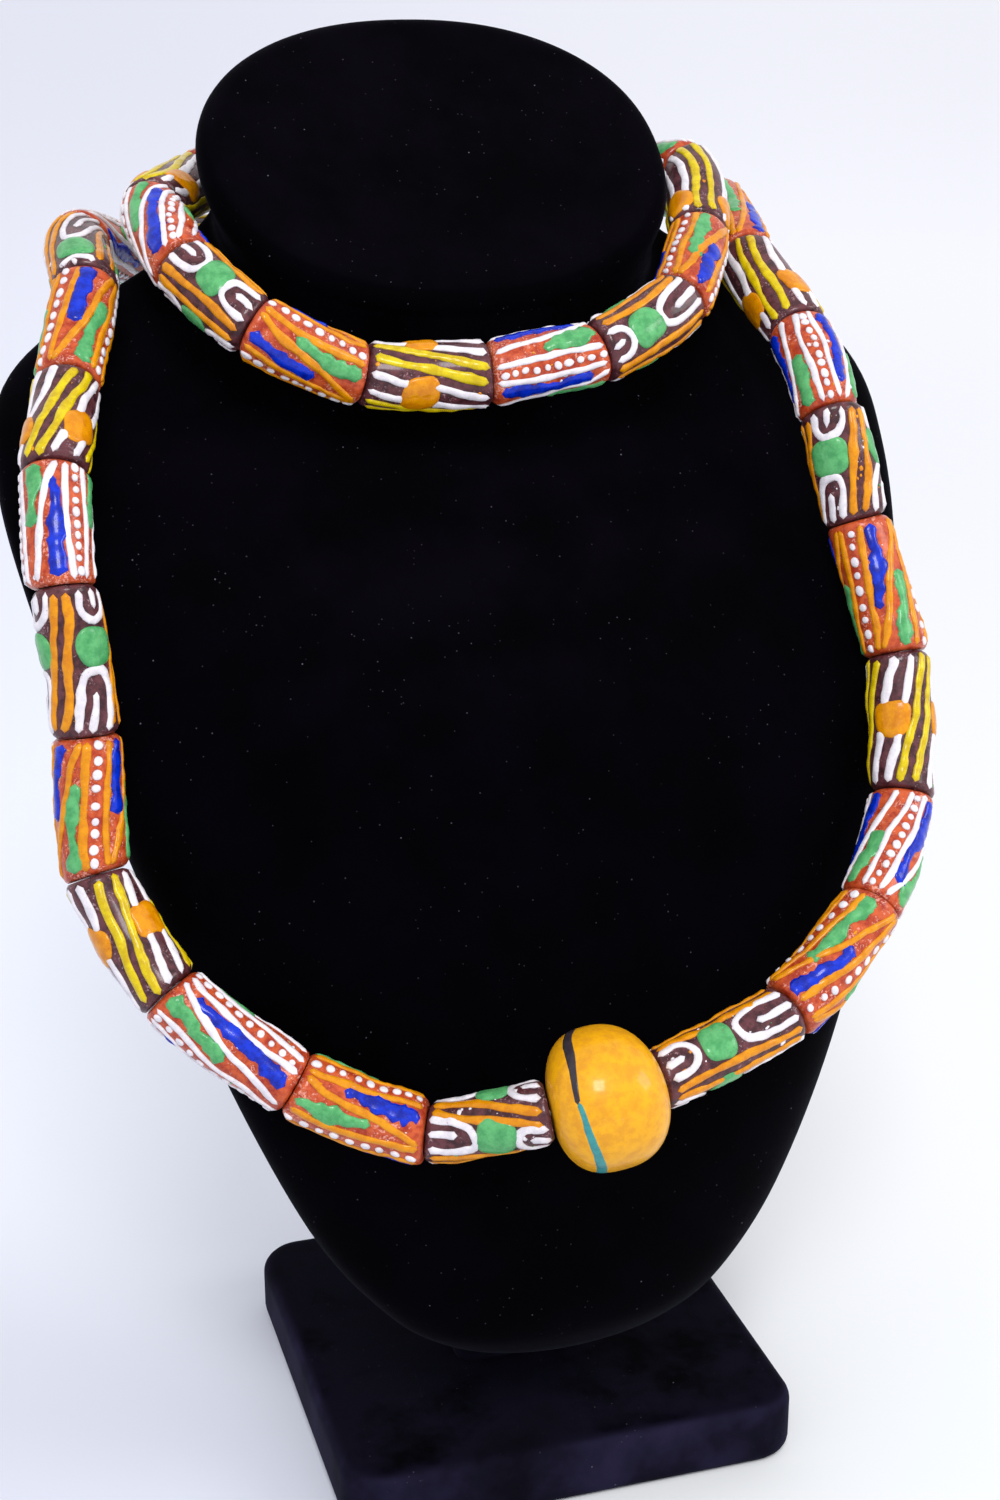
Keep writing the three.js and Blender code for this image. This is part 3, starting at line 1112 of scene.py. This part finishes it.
class Painter:
    """Lays raised paint on a bead's skin.

    The step is the rough distance between points of a line, and the edge depths are how far
    the rims of paint go under the skin so that no gap shows, all in millimetres. Each pair
    of wavelengths, in millimetres, is the shortest and longest of one kind of wobble.
    """

    step = 0.75
    line_edge, line_root = -0.12, -0.3
    mound_edge, mound_root = -0.15, -0.35
    drift_waves = (12, 36)
    width_waves = (8, 22)
    edge_waves = (2.5, 9)
    torn_waves = (1.7, 3.4)
    blunt_from = 0.3

    def __init__(self, skin: BeadSkin, mould: Mould, rng: np.random.Generator) -> None:
        """Args:
            skin: the bead's outside.
            mould: mesh to add to.
            rng: seeded source of numbers.
        """
        self.skin, self.mould, self.rng = skin, mould, rng

    def smooth_path(self, path: np.ndarray, step: float) -> np.ndarray:
        """Runs a smooth curve through points.

        Args:
            path: rows of share and millimetres round.
            step: rough distance between the new points, in millimetres.

        Returns:
            Rows of millimetres along and round.
        """
        flat = path * np.array([self.skin.length, 1.0])
        padded = np.vstack([2 * flat[0] - flat[1], flat, 2 * flat[-1] - flat[-2]])
        pieces = []
        for a, b, c, d in zip(padded[:-3], padded[1:-2], padded[2:-1], padded[3:]):
            count = max(2, int(np.linalg.norm(c - b) / step))
            t = np.linspace(0, 1, count, endpoint=False)[:, None]
            pieces.append(spline(a, b, c, d, t))
        return np.vstack([*pieces, flat[-1:]])

    def trail(self, mark: Trail, path: np.ndarray) -> None:
        """Adds a line or streak of paint.

        Args:
            mark: its paint and sizes.
            path: rows of share and millimetres round.
        """
        line = self.smooth_path(path, self.step)
        steps = np.linalg.norm(np.diff(line, axis=0), axis=1)
        run = np.concatenate([[0], np.cumsum(steps)])
        tangent = unit(np.gradient(line, axis=0))
        across = np.stack([-tangent[:, 1], tangent[:, 0]], axis=1)
        drift = Wander(self.rng, *self.drift_waves).at(run) * mark.rough * 2.2
        line = line + across * drift[:, None]
        half = mark.width / 2 * (1 + (mark.end_share - 1) * run / run[-1])
        load = self.rng.uniform(-0.1, 0.1)
        half = half * (1 + load) * (1 + 1.2 * mark.rough * Wander(self.rng, *self.width_waves).at(run))
        torn = mark.rough * max(0.0, mark.blunt - self.blunt_from)
        left, right = (half * (1 + mark.rough * Wander(self.rng, *self.edge_waves).at(run)
                               + torn * Wander(self.rng, *self.torn_waves).at(run)) for _ in range(2))
        near_end = np.minimum(run, run[-1] - run)
        cap = mark.width / 2 * (1 - 0.7 * mark.blunt)
        rounding = np.sqrt(1 - np.clip(1 - near_end / cap, 0, 1) ** 2)
        rounding = np.maximum(rounding, 0.06)
        tall = mark.height * (1 + 0.15 * Wander(self.rng, *self.edge_waves).at(run)) * rounding ** 0.7
        spots = np.array([-1, -0.82, -0.42, 0, 0.42, 0.82, 1])
        rises = np.sqrt(1 - spots ** 2 * 0.96) ** 1.2
        columns = []
        for spot, rise in zip(spots, rises):
            width = np.where(spot < 0, left, right) * rounding
            place = line + across * (spot * width)[:, None]
            lift = tall * rise if abs(spot) < 1 else np.full_like(run, self.line_edge)
            columns.append((place, lift))
        columns.append((line, np.full_like(run, self.line_root)))
        places = np.stack([place for place, _ in columns], axis=1)
        lifts = np.stack([lift for _, lift in columns], axis=1)
        points = self.skin.points(places[..., 0] / self.skin.length, places[..., 1], lifts)
        self.mould.add_grid(points, mark.paint.value, ends=True)

    def dome(self, centre: np.ndarray, half: tuple[float, float], height: float, slot: int,
             square: float, rough: float, sides: int, rings: int) -> None:
        """Adds a rounded mound of paint.

        Args:
            centre: share and millimetres round.
            half: half its size along and round, in millimetres.
            height: in millimetres.
            slot: material slot.
            square: 2 gives an oval and more a squarer outline.
            rough: unevenness of the outline.
            sides: points round it.
            rings: rings from the edge to the top.
        """
        angle = np.linspace(0, 2 * math.pi, sides, endpoint=False)
        spin = self.rng.uniform(-0.25, 0.25)
        across, up = np.abs(np.cos(angle + spin)), np.abs(np.sin(angle + spin))
        outline = (across ** square + up ** square) ** (-1 / square)
        bumps = [rough * self.rng.normal() * np.cos(n * angle + self.rng.uniform(0, PHASES)) / n
                 for n in (2, 3, 4, 5)]
        outline = outline * (1 + sum(bumps))
        levels = []
        for ring in range(rings + 1):
            reach = math.cos(0.5 * math.pi * ring / (rings + 0.6))
            lift = height * (1 - reach ** 5) ** 0.6 if ring else self.mound_edge
            levels.append((outline * reach, lift))
        levels.insert(0, (outline * 0.5, self.mound_root))
        sizes = [size for size, _ in levels]
        shares = np.stack([centre[0] + half[0] * size * np.cos(angle) / self.skin.length for size in sizes])
        arounds = np.stack([centre[1] + half[1] * size * np.sin(angle) for size in sizes])
        lifts = np.repeat(np.array([lift for _, lift in levels])[:, None], sides, axis=1)
        lifts = lifts * (1 + 0.1 * np.sin(3 * arounds + centre[1]))
        self.mould.add_grid(self.skin.points(shares, arounds, lifts), slot, ends=True)

    def dots(self, mark: DotRow, ends: np.ndarray) -> None:
        """Adds a row of dots.

        Args:
            mark: its paint and sizes.
            ends: share and millimetres round of the first and last dot.
        """
        for number in range(mark.count):
            t = number / (mark.count - 1)
            centre = ends[0] * (1 - t) + ends[1] * t
            centre = centre + self.rng.normal(0, 1, 2) * np.array([0.006, 0.13])
            size = mark.radius * self.rng.uniform(0.8, 1.18)
            stretch = self.rng.uniform(0.9, 1.2)
            self.dome(centre, (size * stretch, size / stretch ** 0.5), 0.42, mark.paint.value, 2, 0.05, 12, 3)

    def spot(self, mark: Spot, centre: np.ndarray) -> None:
        """Adds a spot.

        Args:
            mark: its paint and sizes.
            centre: share and millimetres round.
        """
        along, round_it = (length / 2 * self.rng.uniform(0.92, 1.08) for length in mark.size)
        self.dome(centre, (along, round_it), 0.6, mark.paint.value, 3, 0.09, 32, 5)

    def strays(self, count: int) -> None:
        """Adds small stray drips of paint.

        Args:
            count: number of drips.
        """
        girth = 2 * math.pi * self.skin.radius
        slots = [paint.value for paint in (Paint.WHITE, Paint.WHITE, Paint.ORANGE, Paint.GREEN)]
        for _ in range(count):
            centre = np.array([self.rng.uniform(0.06, 0.94), self.rng.uniform(0, girth)])
            size = 0.13 + 0.6 * self.rng.uniform() ** 2
            slot = int(self.rng.choice(slots))
            self.dome(centre, (size, size * self.rng.uniform(0.5, 1.1)), 0.16, slot, 2, 0.3, 9, 2)


@dataclass
class RoundBead:
    """The large mottled bead with its stripe.

    Args:
        index: place on the string.
        radius: in millimetres.
        bore: radius of its hole, in millimetres.
        gap: space left to the next bead, in millimetres.
        lumpiness: height of its lumps, in millimetres.
        rings: rings along it.
        sides: points round it.
        charcoal: dark part of its stripe.
        teal: blue-green part of its stripe.
    """

    index: int = 39
    radius: float = 14.8
    bore: float = 1.5
    gap: float = 0.3
    lumpiness: float = 0.12
    rings: int = 60
    sides: int = 96
    charcoal: Trail = Trail(Paint.WHITE, ((0.62, -23), (0.745, -16), (0.8, -8), (0.825, 0)),
                            2.7, 0.05, 0.25, 0.03)
    teal: Trail = Trail(Paint.ORANGE, ((0.824, -0.5), (0.8, 6), (0.75, 13), (0.705, 20), (0.66, 30)),
                        0.7, 0.05, 3.8, 0.03)

    def build(self, string: BeadString, eye: np.ndarray,
              materials: list[bpy.types.Material]) -> bpy.types.Object:
        """Builds the bead.

        Args:
            string: the string of beads.
            eye: place of the camera, in millimetres.
            materials: ochre glass, charcoal and teal.

        Returns:
            The finished piece.
        """
        rng = np.random.default_rng(77)
        skin = BarrelSkin(string, self.index, self.radius, eye, rng, curl=0.0)
        skin.lumpiness, skin.bow = self.lumpiness, 0.0
        mould = Mould()
        inset = self.gap / 2 / skin.length
        share = inset + (1 - 2 * inset) * (1 - np.cos(np.linspace(0, math.pi, self.rings))) / 2
        around = np.linspace(0, 2 * math.pi * self.radius, self.sides, endpoint=False)
        shares, arounds = np.meshgrid(share, around, indexing="ij")
        outside = skin.points(shares, arounds)
        inner_share = np.array([1 - inset, 0.75, 0.5, 0.25, inset])
        shares, arounds = np.meshgrid(inner_share, around, indexing="ij")
        inside = skin.points(shares, arounds, radius=np.full(shares.shape, self.bore))
        mould.add_grid(np.concatenate([outside, inside]), 0, wrap_rows=True)
        painter = Painter(skin, mould, rng)
        for stripe in (self.charcoal, self.teal):
            painter.trail(stripe, np.array(stripe.path))
        piece = mould.cast("mottled_round_bead", materials)
        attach(piece, "root")
        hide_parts("round_bead")
        return piece


class BarrelSkin(BeadSkin):
    """The outside of the round bead.

    A higher power gives a squarer barrel, and least is its smallest radius as a share.
    """

    power = 2.5
    least = 0.16

    def profile(self, share: np.ndarray, angle: np.ndarray) -> np.ndarray:
        """Radius of the bead before its lumps.

        Args:
            share: shares of the length.
            angle: radians round it.

        Returns:
            Radii in millimetres.
        """
        reach = np.clip(np.abs(2 * share - 1), 0, 1)
        barrel = self.radius * (1 - reach ** self.power) ** (1 / self.power)
        return np.maximum(barrel, self.radius * self.least)


@dataclass
class Thread:
    """The cotton thread inside the beads.

    Args:
        radius: in millimetres.
        sides: points round it.
        per_bead: rings for each bead.
        twist: turns of its two strands for each bead.
        groove: depth between the strands as a share of radius.
        side_from: direction that its sides are measured from.
    """

    radius: float = 0.55
    sides: int = 10
    per_bead: int = 10
    twist: float = 4.0
    groove: float = 0.18
    side_from: tuple[float, float, float] = (0, -0.94, 0.34)

    def build(self, string: BeadString, material: bpy.types.Material) -> bpy.types.Object:
        """Builds the thread.

        Args:
            string: the string of beads.
            material: cotton.

        Returns:
            The finished piece.
        """
        rings = []
        shares = np.linspace(0, 1, self.per_bead, endpoint=False)
        for index in range(len(string.stops)):
            curl = 0.0 if index == len(string.stops) - 1 else None
            for share, (centre, direction) in zip(shares, zip(*string.stations(index, shares, curl))):
                side = unit(np.cross(direction, np.array(self.side_from)))
                up = np.cross(side, direction)
                angle = np.linspace(0, 2 * math.pi, self.sides, endpoint=False)
                spin = 2 * math.pi * self.twist * share
                reach = self.radius * (1 - self.groove + self.groove * np.abs(np.cos(angle - spin)))
                across, upward = (np.cos(angle) * reach)[:, None], (np.sin(angle) * reach)[:, None]
                rings.append(centre + across * side + upward * up)
        mould = Mould()
        mould.add_grid(np.array(rings) * MM, 0, wrap_rows=True)
        piece = mould.cast("cotton_thread", [material])
        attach(piece, "root")
        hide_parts("thread")
        return piece


@dataclass
class NeckBust:
    """The velvet neck bust.

    Args:
        tip_height: height of the chest's tip.
        height: from the tip to the neck's top.
        tip_y: where the tip is along Y.
        lean: how far back the neck is.
        offset_x: where its middle is along X.
        half_width: half its width at the shoulders.
        front_depth: greatest depth before the middle line.
        rear_depth: greatest depth behind it.
        top_tilt: slope of the neck's top in degrees.
        rim_round: rounding of the neck's rim.
        sides: points round a section.
        per_row: sections for each row of the table.
        rim_steps: rings round the rim.
        top_rings: sizes of the rings over the top, as shares of its edge.
        sections: up, back, half, front, rear, tilt and power of each row, as shares of the sizes above.
    """

    tip_height: float = 33.3
    height: float = 249.5
    tip_y: float = -36.5
    lean: float = 91
    offset_x: float = -2.4
    half_width: float = 103
    front_depth: float = 42
    rear_depth: float = 42.3
    top_tilt: float = 43
    rim_round: float = 4.2
    sides: int = 128
    per_row: int = 8
    rim_steps: int = 7
    top_rings: tuple[float, ...] = (0.96, 0.9, 0.8, 0.65, 0.5, 0.35, 0.2, 0.08)
    sections: list[tuple[float, ...]] = field(default_factory=lambda: [
        (0, 0, 0.03, 0.05, 0.05, 0, 2),
        (0.009, -0.011, 0.155, 0.13, 0.106, 0, 2),
        (0.031, -0.027, 0.272, 0.238, 0.165, 0, 2),
        (0.067, -0.027, 0.381, 0.345, 0.213, 0, 2),
        (0.139, 0.016, 0.517, 0.476, 0.26, 0, 2),
        (0.263, 0.082, 0.656, 0.619, 0.307, 0, 2),
        (0.408, 0.187, 0.78, 0.714, 0.402, 0, 2),
        (0.556, 0.385, 0.893, 0.786, 0.544, 0.05, 2),
        (0.668, 0.61, 0.969, 0.81, 0.709, 0.19, 2.05),
        (0.752, 0.786, 1, 0.833, 0.816, 0.4, 2.1),
        (0.816, 0.901, 0.971, 0.905, 0.745, 0.6, 2.15),
        (0.8625, 0.9615, 0.825, 0.952, 0.615, 0.77, 2.1),
        (0.8986, 0.989, 0.612, 0.976, 0.768, 0.88, 2),
        (0.933, 1, 0.505, 0.964, 0.863, 0.95, 2.05),
        (0.969, 1, 0.495, 0.976, 0.922, 0.98, 2.15),
        (1, 0.995, 0.52, 1, 1, 1, 2.2),
    ])

    def section(self, place: float) -> np.ndarray:
        """Row of the table at a place between rows, by a smooth curve.

        Args:
            place: number of a row, or a place between two.

        Returns:
            Its up, back, half, front, rear, tilt and power.
        """
        rows = np.array(self.sections)
        row = min(int(place), len(rows) - 2)
        t = place - row
        a, b, c, d = rows[max(row - 1, 0)], rows[row], rows[row + 1], rows[min(row + 2, len(rows) - 1)]
        return spline(a, b, c, d, t)

    def ring(self, row: np.ndarray, rise: float = 0.0, inset: float = 0.0) -> np.ndarray:
        """Points round one section.

        Args:
            row: a row of the table.
            rise: distance above the section along its normal.
            inset: distance that its outline moves inwards.

        Returns:
            Rows of x, y, z in metres.
        """
        up, back, half, front, rear, tilt, power = row
        slope = math.radians(tilt * self.top_tilt)
        angle = np.linspace(0, 2 * math.pi, self.sides, endpoint=False)
        round_x = np.sign(np.cos(angle)) * np.abs(np.cos(angle)) ** (2 / power)
        round_y = np.sign(np.sin(angle)) * np.abs(np.sin(angle)) ** (2 / power)
        across = (half * self.half_width - inset) * round_x
        depth = np.where(round_y < 0, front * self.front_depth - inset, rear * self.rear_depth - inset)
        along = depth * round_y
        x = self.offset_x + across
        y = self.tip_y + back * self.lean + along * math.cos(slope) - rise * math.sin(slope)
        z = self.tip_height + up * self.height + along * math.sin(slope) + rise * math.cos(slope)
        return np.stack([x, y, z], axis=1) * MM

    def build(self, material: bpy.types.Material) -> bpy.types.Object:
        """Builds the bust.

        Args:
            material: velvet.

        Returns:
            The finished piece.
        """
        last = len(self.sections) - 1
        rings = [self.ring(self.section(n / self.per_row)) for n in range(last * self.per_row + 1)]
        top = self.section(last)
        for step in range(1, self.rim_steps + 1):
            angle = step / self.rim_steps * math.pi / 2
            rise, inset = self.rim_round * math.sin(angle), self.rim_round * (1 - math.cos(angle))
            rings.append(self.ring(top, rise, inset))
        close_over(rings, self.top_rings)
        mould = Mould()
        mould.add_grid(np.array(rings), 0, ends=True)
        piece = mould.cast("velvet_bust", [material])
        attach(piece, "root")
        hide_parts("bust")
        return piece


@dataclass
class BasePad:
    """The pad under the bust and the post that joins them.

    Args:
        width: along X.
        depth: along Y.
        height: of the pad.
        corner: radius of its corners.
        edge: rounding of its upper edge.
        foot: rounding of its lower edge.
        post_width: of the post.
        post_depth: of the post.
        post_front: where the post's front is along Y.
        post_top: height of the post's top, inside the bust.
        post_corner: radius of its corners.
        post_levels: heights over the pad of its lower rings, and how much wider each is.
        post_heights: heights of its other rings.
        side_heights: heights of the rings up the pad's side.
        corner_steps: steps round a corner.
        top_rings: sizes of the rings over the top, as shares of its edge.
    """

    width: float = 107
    depth: float = 102
    height: float = 16
    corner: float = 10
    edge: float = 4
    foot: float = 3
    post_width: float = 30
    post_depth: float = 18
    post_front: float = -14
    post_top: float = 126
    post_corner: float = 4
    post_levels: tuple[tuple[float, float], ...] = ((0, 1.6), (0.4, 0.6), (1.2, 0))
    post_heights: tuple[float, ...] = (40, 70, 100)
    side_heights: tuple[float, ...] = (5, 8, 10.5)
    corner_steps: int = 12
    top_rings: tuple[float, ...] = (0.97, 0.9, 0.8, 0.65, 0.5, 0.35, 0.2, 0.08)

    def outline(self, width: float, depth: float, corner: float, height: float,
                middle: tuple[float, float] = (0, 0)) -> np.ndarray:
        """Points round a rectangle with rounded corners.

        Args:
            width: along X.
            depth: along Y.
            corner: radius of the corners.
            height: along Z.
            middle: where its middle is.

        Returns:
            Rows of x, y, z in metres.
        """
        points = []
        for number, (side_x, side_y) in enumerate(((1, 1), (-1, 1), (-1, -1), (1, -1))):
            for step in range(self.corner_steps + 1):
                angle = math.pi / 2 * (number + step / self.corner_steps)
                x = middle[0] + side_x * (width / 2 - corner) + corner * math.cos(angle)
                y = middle[1] + side_y * (depth / 2 - corner) + corner * math.sin(angle)
                points.append((x, y, height))
        return np.array(points) * MM

    def build(self, material: bpy.types.Material) -> list[bpy.types.Object]:
        """Builds the pad and the post.

        Args:
            material: velvet.

        Returns:
            The two finished pieces.
        """
        levels = [(self.foot * (1 - math.sin(a)), self.foot * (1 - math.cos(a)))
                  for a in np.linspace(0, math.pi / 2, 6)]
        levels += [(0, height) for height in self.side_heights]
        levels += [(self.edge * (1 - math.cos(a)), self.height - self.edge * (1 - math.sin(a)))
                   for a in np.linspace(0, math.pi / 2, 8)]
        rings = [self.outline(self.width - 2 * inset, self.depth - 2 * inset, self.corner - inset, height)
                 for inset, height in levels]
        close_over(rings, self.top_rings)
        pad = Mould()
        pad.add_grid(np.array(rings), 0, ends=True)
        pad_piece = pad.cast("velvet_base_pad", [material])
        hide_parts("base")
        post = Mould()
        centre = (NeckBust.offset_x, self.post_front + self.post_depth / 2)
        post_rings = [(self.height + above, wider) for above, wider in self.post_levels]
        post_rings += [(height, 0) for height in (*self.post_heights, self.post_top)]
        post.add_grid(np.array([
            self.outline(self.post_width + wider, self.post_depth + wider, self.post_corner, height, centre)
            for height, wider in post_rings]), 0, ends=True)
        post_piece = post.cast("velvet_post", [material])
        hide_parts("post")
        for piece in (pad_piece, post_piece):
            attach(piece, "root")
        return [pad_piece, post_piece]


# Studio


@dataclass(frozen=True)
class SoftLamp:
    """A square lamp that points at the necklace.

    Args:
        name: name of the lamp.
        place: in metres.
        size: side of the lamp in metres.
        power: in watts.
        aim: point that it lights, in metres.
    """

    name: str
    place: tuple[float, float, float]
    size: float
    power: float
    aim: tuple[float, float, float] = (0, 0, 0.18)

    def build(self) -> None:
        """Makes the lamp."""
        data = bpy.data.lights.new(self.name, "AREA")
        data.size = self.size
        data.energy = self.power
        lamp = bpy.data.objects.new(self.name, data)
        lamp.location = self.place
        aim = Vector(self.aim) - Vector(self.place)
        lamp.rotation_euler = aim.to_track_quat("-Z", "Y").to_euler()
        bpy.context.collection.objects.link(lamp)


@dataclass
class Studio:
    """Pale floor with painted light and shade in its colour, and soft light.

    Args:
        floor_size: side of the floor in metres.
        painted_light_side: direction along the floor towards the window, where the floor is painted lighter.
        front_shade_colours: of the floor before the object, on the left and on the right, darker as painted
            shade.
        near_colours: of the floor by the object, on the left and on the right, whose difference is painted
            light from the window's side.
        far_colours: of the floor far behind it, on the left and on the right, the right lighter as painted
            light.
        side_band: shares of the way to that side between which the tones change.
        centre_blur: metres round the middle over which they blend.
        far_band: metres from the middle between which near turns to far.
        front_shade_band: metres behind the middle between which the near colours turn to the painted shade
            before the object.
        sky_colour: of the light from all sides.
        sky_strength: of that light.
        lamps: the lamps over it.
    """

    floor_size: float = 60.0
    painted_light_side: tuple[float, float, float] = (0.956, -0.292, 0.0)
    front_shade_colours: tuple[tuple[float, ...], ...] = (srgb(209, 212, 224), srgb(221, 223, 225))
    near_colours: tuple[tuple[float, ...], ...] = (srgb(222, 225, 235), srgb(224, 225, 228))
    far_colours: tuple[tuple[float, ...], ...] = (srgb(235, 236, 247), srgb(248, 248, 253))
    side_band: tuple[float, float] = (-0.2, 0.17)
    centre_blur: float = 0.1
    far_band: tuple[float, float] = (0.2, 2.2)
    front_shade_band: tuple[float, float] = (0.09, -0.04)
    sky_colour: tuple[float, float, float, float] = srgb(247, 248, 252)
    sky_strength: float = 1.0
    lamps: tuple[SoftLamp, ...] = (
        SoftLamp("key_above", (-0.3, -1.2, 1.5), 0.55, 18),
        SoftLamp("window_right", (1.2, -0.7, 0.9), 0.6, 7),
    )

    def build(self) -> None:
        """Makes the floor, the sky and the lamps."""
        half = self.floor_size / 2
        mesh = bpy.data.meshes.new("floor")
        corners = [(-half, -half, 0), (half, -half, 0), (half, half, 0), (-half, half, 0)]
        mesh.from_pydata(corners, [], [(0, 1, 2, 3)])
        floor = bpy.data.objects.new("floor", mesh)
        bpy.context.collection.objects.link(floor)
        material = bpy.data.materials.new("pale_floor")
        material.use_nodes = True
        surface = material.node_tree.nodes["Principled BSDF"]
        sketch = NodeSketch(material.node_tree)
        where = sketch.add("ShaderNodeTexCoord").outputs["Object"]
        away = sketch.add("ShaderNodeVectorMath", operation="LENGTH")
        sketch.join(where, away.inputs[0])
        aside, ahead = (self.along(sketch, where, way) for way in (
            self.painted_light_side, (-self.painted_light_side[1], self.painted_light_side[0], 0.0)))
        share = sketch.maths("DIVIDE", aside, sketch.maths("ADD", away.outputs["Value"], self.centre_blur))
        # Painted light and shade: the floor is lighter towards the window side and darker before the object.
        painted_light_share = sketch.spread(share, *self.side_band)
        far = sketch.spread(away.outputs["Value"], *self.far_band)
        front = sketch.spread(ahead, *self.front_shade_band)
        pairs = (self.front_shade_colours, self.near_colours, self.far_colours)
        front_shaded_floor, near_floor, far_floor = (sketch.mix(painted_light_share, *pair) for pair in pairs)
        close_floor = sketch.mix(front, near_floor, front_shaded_floor)
        sketch.join(sketch.mix(far, close_floor, far_floor), surface.inputs["Base Color"])
        surface.inputs["Roughness"].default_value = 0.85
        surface.inputs["Specular IOR Level"].default_value = 0.1
        mesh.materials.append(material)
        world = bpy.data.worlds.new("pale_sky")
        world.use_nodes = True
        sky = world.node_tree.nodes["Background"]
        sky.inputs["Color"].default_value = self.sky_colour
        sky.inputs["Strength"].default_value = self.sky_strength
        bpy.context.scene.world = world
        for lamp in self.lamps:
            lamp.build()
        bpy.context.scene.view_settings.view_transform = "Standard"

    def along(self, sketch: NodeSketch, where: bpy.types.NodeSocket,
              way: tuple[float, float, float]) -> bpy.types.NodeSocket:
        """Distance of a floor place along a direction.

        Args:
            sketch: the floor's nodes.
            where: coordinates on the floor.
            way: direction.

        Returns:
            The distance in metres.
        """
        node = sketch.add("ShaderNodeVectorMath", operation="DOT_PRODUCT")
        sketch.join(where, node.inputs[0])
        node.inputs[1].default_value = way
        return node.outputs["Value"]


# Finishes

PLUM = GlassFinish("plum_brown_glass", srgb(94, 50, 55), srgb(50, 23, 28), srgb(160, 128, 134),
                   0.34, 0.8, 0.35)
BRICK = GlassFinish("brick_red_glass", srgb(192, 84, 42), srgb(146, 40, 20), srgb(226, 156, 138),
                    0.32, 1.0, 0.6)
PAINTS = [
    GlassFinish("white_paint", srgb(224, 219, 224), srgb(202, 197, 204), srgb(168, 120, 112), 0.3, 0.35, 0.4),
    GlassFinish("orange_paint", srgb(213, 139, 2), srgb(192, 114, 1), srgb(172, 82, 36), 0.28, 0.35, 0.35),
    GlassFinish("yellow_paint", srgb(209, 187, 5), srgb(184, 155, 1), srgb(134, 92, 36), 0.28, 0.35, 0.35),
    GlassFinish("green_paint", srgb(90, 168, 104), srgb(62, 140, 82), srgb(150, 156, 112), 0.3, 0.5, 0.45),
    GlassFinish("blue_paint", srgb(4, 46, 190), srgb(1, 22, 134), srgb(90, 84, 156), 0.26, 0.35, 0.3),
]
OCHRE = GlassFinish("ochre_glass", srgb(224, 160, 12), srgb(206, 140, 22), srgb(226, 178, 88), 0.4, 0.5, 0.35,
                    coat=0.3, relief=0.07)
CHARCOAL = GlassFinish("charcoal_stripe", srgb(56, 48, 54), srgb(42, 36, 44), srgb(120, 96, 76),
                       0.42, 0.4, 0.4)
TEAL = GlassFinish("teal_stripe", srgb(58, 142, 142), srgb(48, 122, 128), srgb(150, 165, 110),
                   0.42, 0.4, 0.5)
COTTON = GlassFinish("cotton", srgb(226, 220, 206), srgb(200, 192, 176), srgb(236, 232, 224),
                     0.85, 0.1, 0.1, coat=0.0)
# Its level colour is painted light on the bust's faces that look up.
VELVET = VelvetFinish()
# A lighter copy of the black velvet, as painted light on the pad's sides; its near-black level colour is
# painted shade on the pad's top.
PAD_VELVET_PAINTED_LIGHT_AND_SHADE = VelvetFinish("pad_velvet_painted_light_and_shade", srgb(11, 10, 19), srgb(33, 30, 52), srgb(0, 0, 1),
                          sheen=0.04)


def main() -> None:
    """Builds the camera, the studio and the pieces in order, and reports them."""
    logging.basicConfig(level=logging.INFO, format="%(message)s")
    camera = StudioCamera()
    camera.build()
    Studio().build()
    effects = SharedEffects()
    eye = np.array(camera.place())
    string = BeadString(ROUTE)
    velvet = VELVET.make(effects)
    paints = [finish.make(effects) for finish in PAINTS]
    plum, brick = PLUM.make(effects), BRICK.make(effects)
    pad_velvet_painted_light_and_shade = PAD_VELVET_PAINTED_LIGHT_AND_SHADE.make(effects)
    pieces = [NeckBust().build(velvet), *BasePad().build(pad_velvet_painted_light_and_shade)]
    pieces.append(Thread().build(string, COTTON.make(effects)))
    for index, kind in enumerate(KINDS):
        ground = plum if kind in (Kind.STRIPED, Kind.ARCHED) else brick
        turn = TURNS.get(index, Turn(roll=2.7 * index))
        bead = TubeBead(index, kind, turn, radius=TubeBead.radius * turn.girth)
        pieces.append(bead.build(string, eye, [ground, *paints]))
    round_finishes = [finish.make(effects) for finish in (OCHRE, CHARCOAL, TEAL)]
    pieces.append(RoundBead().build(string, eye, round_finishes))
    for piece in pieces:
        LOG.info("%s: %d faces", piece.name, len(piece.data.polygons))
    LOG.info("faces in all: %d", sum(len(piece.data.polygons) for piece in pieces))


if __name__ == "__main__":
    main()
